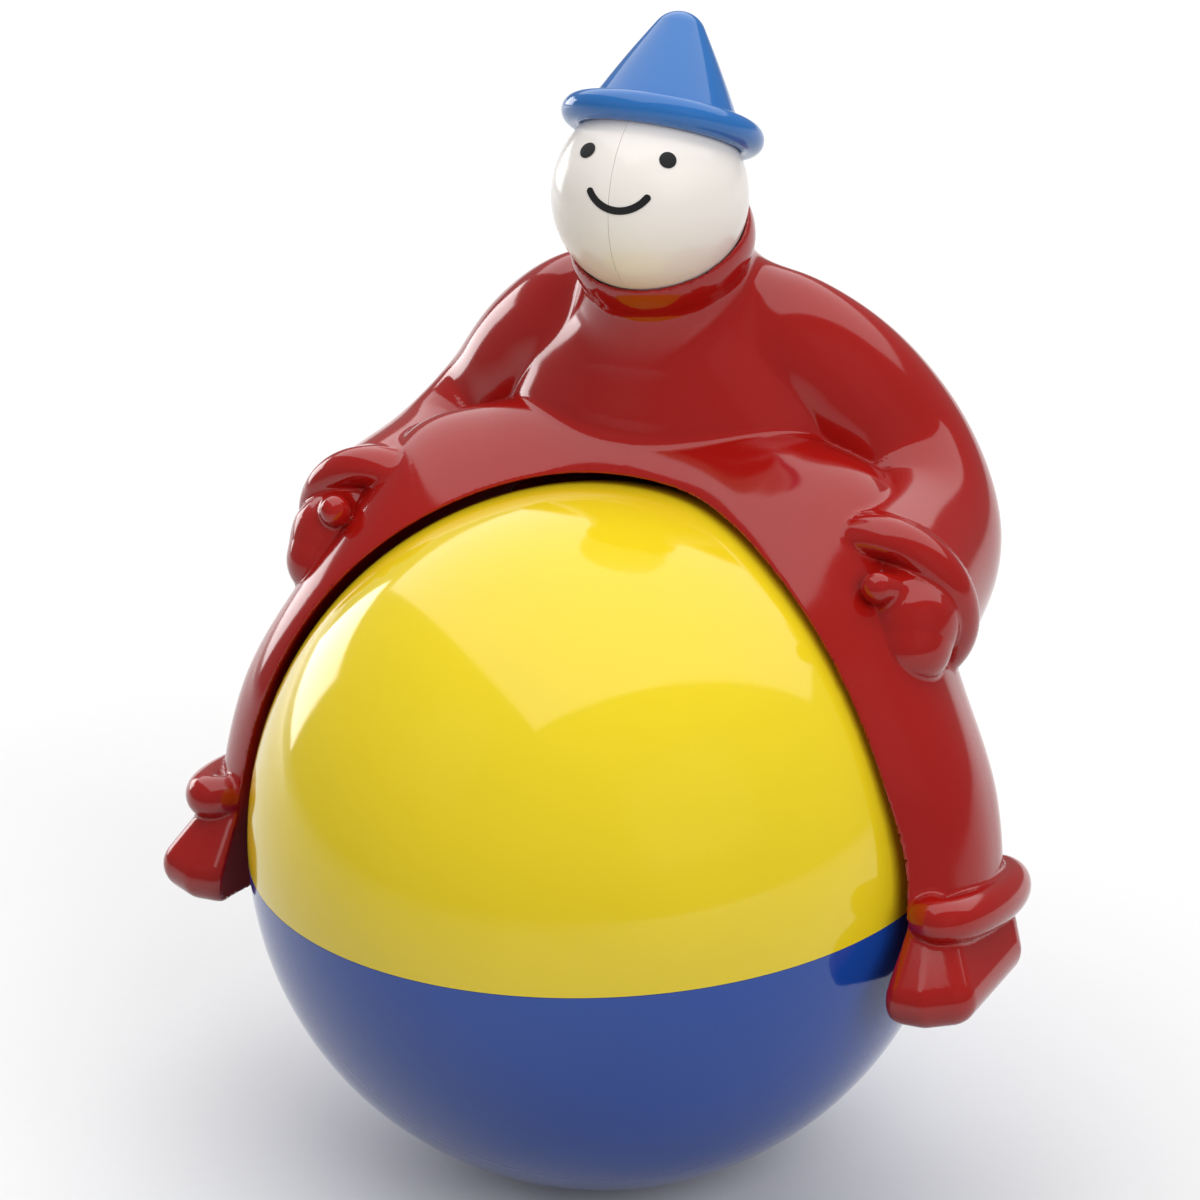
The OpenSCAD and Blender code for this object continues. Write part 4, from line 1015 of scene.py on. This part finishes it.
def hat_profile(sizes, head_radius):
    """Radius and height from the tip down the flank, round the brim and up over the head."""
    base, low = Vector((sizes.base, sizes.brim_rise)), Vector((sizes.brim_radius, sizes.brim_rise))
    top = Vector((0, sizes.tip - sizes.tip_round))
    gap = top - base
    lean = math.asin(sizes.tip_round / gap.length)
    way = Matrix.Rotation(-lean, 2) @ gap.normalized()
    run = math.sqrt(gap.length ** 2 - sizes.tip_round ** 2)
    normal = Vector((way.y, -way.x))
    crown = math.atan2(normal.y, normal.x)
    profile = [(0.0, sizes.tip)]
    for i in range(1, HAT_TIP_STEPS + 1):
        a = math.pi / 2 + (crown - math.pi / 2) * i / HAT_TIP_STEPS
        profile.append((sizes.tip_round * math.cos(a), top.y + sizes.tip_round * math.sin(a)))
    for i in range(1, HAT_STEPS):
        s = i / HAT_STEPS
        spot = base + way * run * (1 - s) + normal * sizes.bow * math.sin(math.pi * s)
        if (spot - low).length < sizes.brim_girth:
            break
        profile.append(tuple(spot))
    crease = Vector(profile[-1]) - low
    first = math.atan2(crease.y, crease.x)
    for i in range(1, HAT_STEPS + 1):
        a = first + (HAT_ROLL_END - first) * i / HAT_STEPS
        profile.append((low.x + sizes.brim_girth * math.cos(a), low.y + sizes.brim_girth * math.sin(a)))
    reach = math.hypot(*profile[-1])
    rise = math.atan2(profile[-1][1], profile[-1][0])
    inner = max(head_radius * HAT_ROOM[0], min(reach, head_radius * HAT_ROOM[1]))
    for i in range(1, HAT_TIP_STEPS + 1):
        a = rise + (math.pi / 2 - rise) * i / HAT_TIP_STEPS
        profile.append((inner * math.cos(a), inner * math.sin(a)))
    profile[-1] = (0.0, inner)
    return profile


# Stage

# Camera, fitted to the outline of the photo's ball and to its colour line: place, and the ways that its
# right, its top and its back face
CAMERA_PLACE = (0.33575, -0.68682, 0.42605)
CAMERA_AXES = ((0.9055, 0.4227, -0.0384), (-0.133, 0.3684, 0.9201), (0.4031, -0.828, 0.3898))
CAMERA_LENS, CAMERA_SENSOR = 150.0, 36.0
# Soft panels, placed by the reflections in the gloss: middle of the panel, the way its face looks, the way
# its width runs, width, height, brightness of its face, and whether the gloss shows it
PANELS = [
    ("overhead_bank", (-0.52, 1.096, 0.86), (0, 0, -1), (-0.735, 0.678, 0), 2.9, 1.82, 1.5, True),
    ("right_fill", (1.3, -0.78, 0.93), (-1.3, 0.78, -0.83), (0.51, 0.86, 0), 1.3, 1.1, 3.7, False),
    ("head_fill", (-0.15, -0.2, 0.26), (0.15, 0.228, -0.096), (0.835, -0.55, 0), 0.14, 0.16, 2.3, False),
    ("left_panel", (-0.74, 0.31, 0.17), (0.92, -0.37, -0.1), (0.37, 0.92, 0), 0.34, 0.24, 4.2, True),
]
WORLD_STRENGTH = 0.25
# Floor: half its side, how far it lies under the toy, and the share of its colour that it throws back
FLOOR_REACH, FLOOR_DROP, FLOOR_BOUNCE = 6.0, 0.00002, 0.45


def painted_board(pale):
    """Matt painted board: pale and even, with a faint roller grain 3 mm apart. Seen straight, in gloss or
    through glass it is pale; it throws less light back up at the toy."""
    finish, tree, place = start_finish("matt_painted_board")
    tone = tones(tree, noise(tree, place, 0.003, 2.0), pale, 0.985)
    path = add(tree, "ShaderNodeLightPath").outputs
    gloss = reckon(tree, "MAXIMUM", path["Is Camera Ray"], path["Is Glossy Ray"])
    seen = reckon(tree, "MAXIMUM", gloss, path["Is Transmission Ray"])
    shown = add(
        tree, "ShaderNodeMix", {"Factor": seen, "A": rgba(pale, FLOOR_BOUNCE), "B": tone}, data_type="RGBA")
    end_finish(tree, {"Base Color": shown.outputs["Result"], "Roughness": 0.9})
    return finish


# Operators


class TOY_OT_stage(bpy.types.Operator):
    """Camera, lamps, floor and world"""

    bl_idname = "toy.stage"
    bl_label = "Stage"

    def execute(self, context):
        scene = context.scene
        camera = bpy.data.cameras.new("camera")
        camera.lens, camera.sensor_width, camera.sensor_fit = CAMERA_LENS, CAMERA_SENSOR, "AUTO"
        viewer = bpy.data.objects.new("camera", camera)
        viewer.matrix_world = Matrix.Translation(CAMERA_PLACE) @ Matrix(CAMERA_AXES).transposed().to_4x4()
        scene.collection.objects.link(viewer)
        scene.camera = viewer
        scene.view_settings.view_transform = "Standard"
        for name, spot, look, run, wide, tall, bright, shows in PANELS:
            lamp = bpy.data.lights.new(name, "AREA")
            lamp.shape, lamp.size, lamp.size_y = "RECTANGLE", wide, tall
            lamp.energy = bright * math.pi * wide * tall
            back = -Vector(look).normalized()
            across = (Vector(run) - back * back.dot(Vector(run))).normalized()
            stand = bpy.data.objects.new(name, lamp)
            axes = Matrix((across, back.cross(across), back)).transposed().to_4x4()
            stand.matrix_world = Matrix.Translation(spot) @ axes
            stand.visible_glossy = shows
            stand.visible_camera = False
            scene.collection.objects.link(stand)
        world = bpy.data.worlds.new("studio")
        world.use_nodes = True
        sky = world.node_tree.nodes["Background"].inputs
        sky["Color"].default_value = (1.0, 1.0, 1.0, 1.0)
        sky["Strength"].default_value = WORLD_STRENGTH
        scene.world = world
        sides = ((-1, -1), (1, -1), (1, 1), (-1, 1))
        ground = smooth_mesh(
            "floor", [(x * FLOOR_REACH, y * FLOOR_REACH, 0) for x, y in sides], [(0, 1, 2, 3)])
        ground.transform(Matrix.Translation((0, 0, -FLOOR_DROP)))
        ground.materials.append(painted_board(scene.toy.colours.floor))
        floor = bpy.data.objects.new("floor", ground)
        scene.collection.objects.link(floor)
        return {"FINISHED"}


class TOY_OT_ball(bpy.types.Operator):
    """Yellow upper and blue lower shell of the ball"""

    bl_idname = "toy.ball"
    bl_label = "Ball shells"

    def execute(self, context):
        toy = context.scene.toy
        sizes = toy.ball
        shells = [
            ("ball_upper", "ball_upper_shell", "yellow_abs", toy.colours.yellow,
             Matrix.Identity(4), UNCUT, 0.9),
            ("ball_lower", "ball_lower_shell", "blue_abs", toy.colours.deep_blue,
             Matrix.Rotation(math.pi, 4, "X"), BALL_CENTRE.z, 0.88),
        ]
        for name, node, slot, colour, turn, flat, depth in shells:
            finish = moulded_abs(
                f"polished_abs_{slot.split('_')[0]}", colour, depth=depth, gloss=0.07, wave=0.00006)
            values = {
                "Radius": sizes.radius, "Wall": sizes.wall, "Flat height": flat, "Parting": sizes.parting,
                "Hole radius": sizes.bush, "Segments": sizes.segments, "Material": finish}
            mesh = half_shell(name, values, sizes.edge, turn, BALL_CENTRE)
            add_piece(name, mesh, finish, "ball", slot, node)
        return {"FINISHED"}


class TOY_OT_figure(bpy.types.Operator):
    """Two hollow red halves of the seated figure"""

    bl_idname = "toy.figure"
    bl_label = "Figure"

    def execute(self, context):
        toy = context.scene.toy
        sizes = toy.figure
        radius = toy.ball.radius
        skin = Skin(sizes.wall / radius)
        points, quads = draw_skin(skin, sizes.cell / radius)
        if not len(quads):
            raise RuntimeError("the figure's skin came out empty")
        finish = moulded_abs("polished_abs_red", toy.colours.red, depth=0.86, gloss=0.09, wave=0.00005)
        core = core_side_abs(toy.colours.red)
        halves = (("figure_right", "rider_right_half", 1), ("figure_left", "rider_left_half", -1))
        for name, node, side in halves:
            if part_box(node)[1].x <= 0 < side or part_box(node)[0].x >= 0 > side:
                raise RuntimeError(f"{node} lies on the other side")
            mesh = figure_half(name, sizes, radius, points, quads, skin, side)
            mesh.materials.append(finish)
            mesh.materials.append(core)
            for face in mesh.polygons:
                inward = BALL_CENTRE - face.center
                face.material_index = int(face.normal.dot(inward) > CORE_SIDE * inward.length)
            add_piece(name, mesh, finish, "rider", "red_abs", node)
        return {"FINISHED"}


class TOY_OT_head(bpy.types.Operator):
    """Two ivory halves of the head"""

    bl_idname = "toy.head"
    bl_label = "Head"

    def execute(self, context):
        toy = context.scene.toy
        sizes = toy.head
        finish = moulded_abs("satin_abs_ivory", toy.colours.ivory, depth=0.97, gloss=0.16, wave=0.00003)
        halves = (
            ("head_right", "head_right_half", math.pi / 2), ("head_left", "head_left_half", -math.pi / 2))
        for name, node, angle in halves:
            values = {
                "Radius": sizes.radius, "Wall": sizes.wall, "Flat height": UNCUT, "Parting": sizes.seam,
                "Hole radius": 0.0, "Segments": ROUND, "Material": finish}
            mesh = half_shell(name, values, 0.0, Matrix.Rotation(angle, 4, "Y"), HEAD_CENTRE)
            add_piece(name, mesh, finish, "head", "ivory_abs", node)
        return {"FINISHED"}


class TOY_OT_hat(bpy.types.Operator):
    """Pointed blue hat with a rolled brim"""

    bl_idname = "toy.hat"
    bl_label = "Hat"

    def execute(self, context):
        toy = context.scene.toy
        mesh = revolve("hat", hat_profile(toy.hat, toy.head.radius), ROUND)
        mesh.transform(Matrix.Translation(HEAD_CENTRE) @ lean_matrix(toy.figure))
        mesh.set_sharp_from_angle(angle=math.radians(HAT_SHARP_ANGLE))
        finish = moulded_abs(
            "polished_abs_mid_blue", toy.colours.mid_blue, depth=0.9, gloss=0.1, wave=0.00004)
        add_piece("hat_cone", mesh, finish, "head", "hat_blue_abs", "hat")
        return {"FINISHED"}


class TOY_OT_print(bpy.types.Operator):
    """Printed eyes and mouth"""

    bl_idname = "toy.print"
    bl_label = "Face print"

    def execute(self, context):
        toy = context.scene.toy
        sizes = toy.head
        finish = pad_print(toy.colours.ink)
        place = Matrix.Translation(HEAD_CENTRE) @ lean_matrix(toy.figure)
        values = {
            "Head radius": sizes.radius, "Eye radius": sizes.eye, "Ink": sizes.ink, "Spread": sizes.spread,
            "Rise": sizes.rise, "Turn": sizes.turn, "Far wide": sizes.far_wide, "Far tall": sizes.far_tall,
            "Material": finish}
        eyes = grown("eyes", eye_tree(), values)
        eyes.transform(place)
        eyes.set_sharp_from_angle(angle=math.radians(SHARP_ANGLE))
        add_piece("eyes", eyes, finish, "head", "black_ink", "eye_prints")
        mouth = mouth_mesh(sizes)
        mouth.transform(place)
        add_piece("mouth", mouth, finish, "head", "black_ink", "mouth_print")
        return {"FINISHED"}


class TOY_OT_inner(bpy.types.Operator):
    """Finishes of the pins, bushes, weight and pegs, which keep their CAD shapes"""

    bl_idname = "toy.inner"
    bl_label = "Inner parts"

    def execute(self, context):
        colours = context.scene.toy.colours
        red = bpy.data.materials.get("polished_abs_red")
        if not red:
            raise RuntimeError("the figure comes before the inner parts")
        acetal = turned_acetal(colours.acetal)
        zinc = zinc_plate(colours.zinc)
        iron = sand_cast_iron(colours.iron)
        finishes = {
            "ballast_weight": iron, "ballast_washer": zinc, "ballast_screw": zinc, "bush_left": acetal,
            "bush_right": acetal, "ankle_pin_left": zinc, "ankle_pin_right": zinc, "neck_bush": acetal,
            "seam_pegs": red, "neck_stud": acetal}
        for node, finish in finishes.items():
            obj = frame["nodes"][node]
            if not obj.material_slots:
                obj.data.materials.append(finish)
            for place in obj.material_slots:
                place.material = finish
        return {"FINISHED"}


class TOY_PT_panel(bpy.types.Panel):
    """Sizes, colours and steps of the toy"""

    bl_idname = "TOY_PT_panel"
    bl_label = "Roly poly toy"
    bl_space_type = "VIEW_3D"
    bl_region_type = "UI"
    bl_category = "Toy"

    def draw(self, context):
        toy = context.scene.toy
        for group in (toy.ball, toy.figure, toy.head, toy.hat, toy.colours):
            box = self.layout.box()
            box.label(text=type(group).__doc__)
            for key in type(group).__annotations__:
                box.prop(group, key)
        for step in STEPS:
            self.layout.operator(step.bl_idname)


STEPS = (TOY_OT_stage, TOY_OT_ball, TOY_OT_figure, TOY_OT_head, TOY_OT_hat, TOY_OT_print, TOY_OT_inner)
CLASSES = (BallSizes, FigureSizes, HeadSizes, HatSizes, FinishColours, ToySettings, *STEPS, TOY_PT_panel)


def register():
    """Makes the classes and the settings known."""
    for made in CLASSES:
        bpy.utils.register_class(made)
    bpy.types.Scene.toy = PointerProperty(type=ToySettings)


def unregister():
    """Takes the settings and the classes away again."""
    del bpy.types.Scene.toy
    for made in reversed(CLASSES):
        bpy.utils.unregister_class(made)


def main():
    """Builds the toy on its stage."""
    register()
    for step in (bpy.ops.toy.stage, bpy.ops.toy.ball, bpy.ops.toy.figure, bpy.ops.toy.head, bpy.ops.toy.hat,
                 bpy.ops.toy.print, bpy.ops.toy.inner):
        step()


if __name__ == "__main__":
    main()
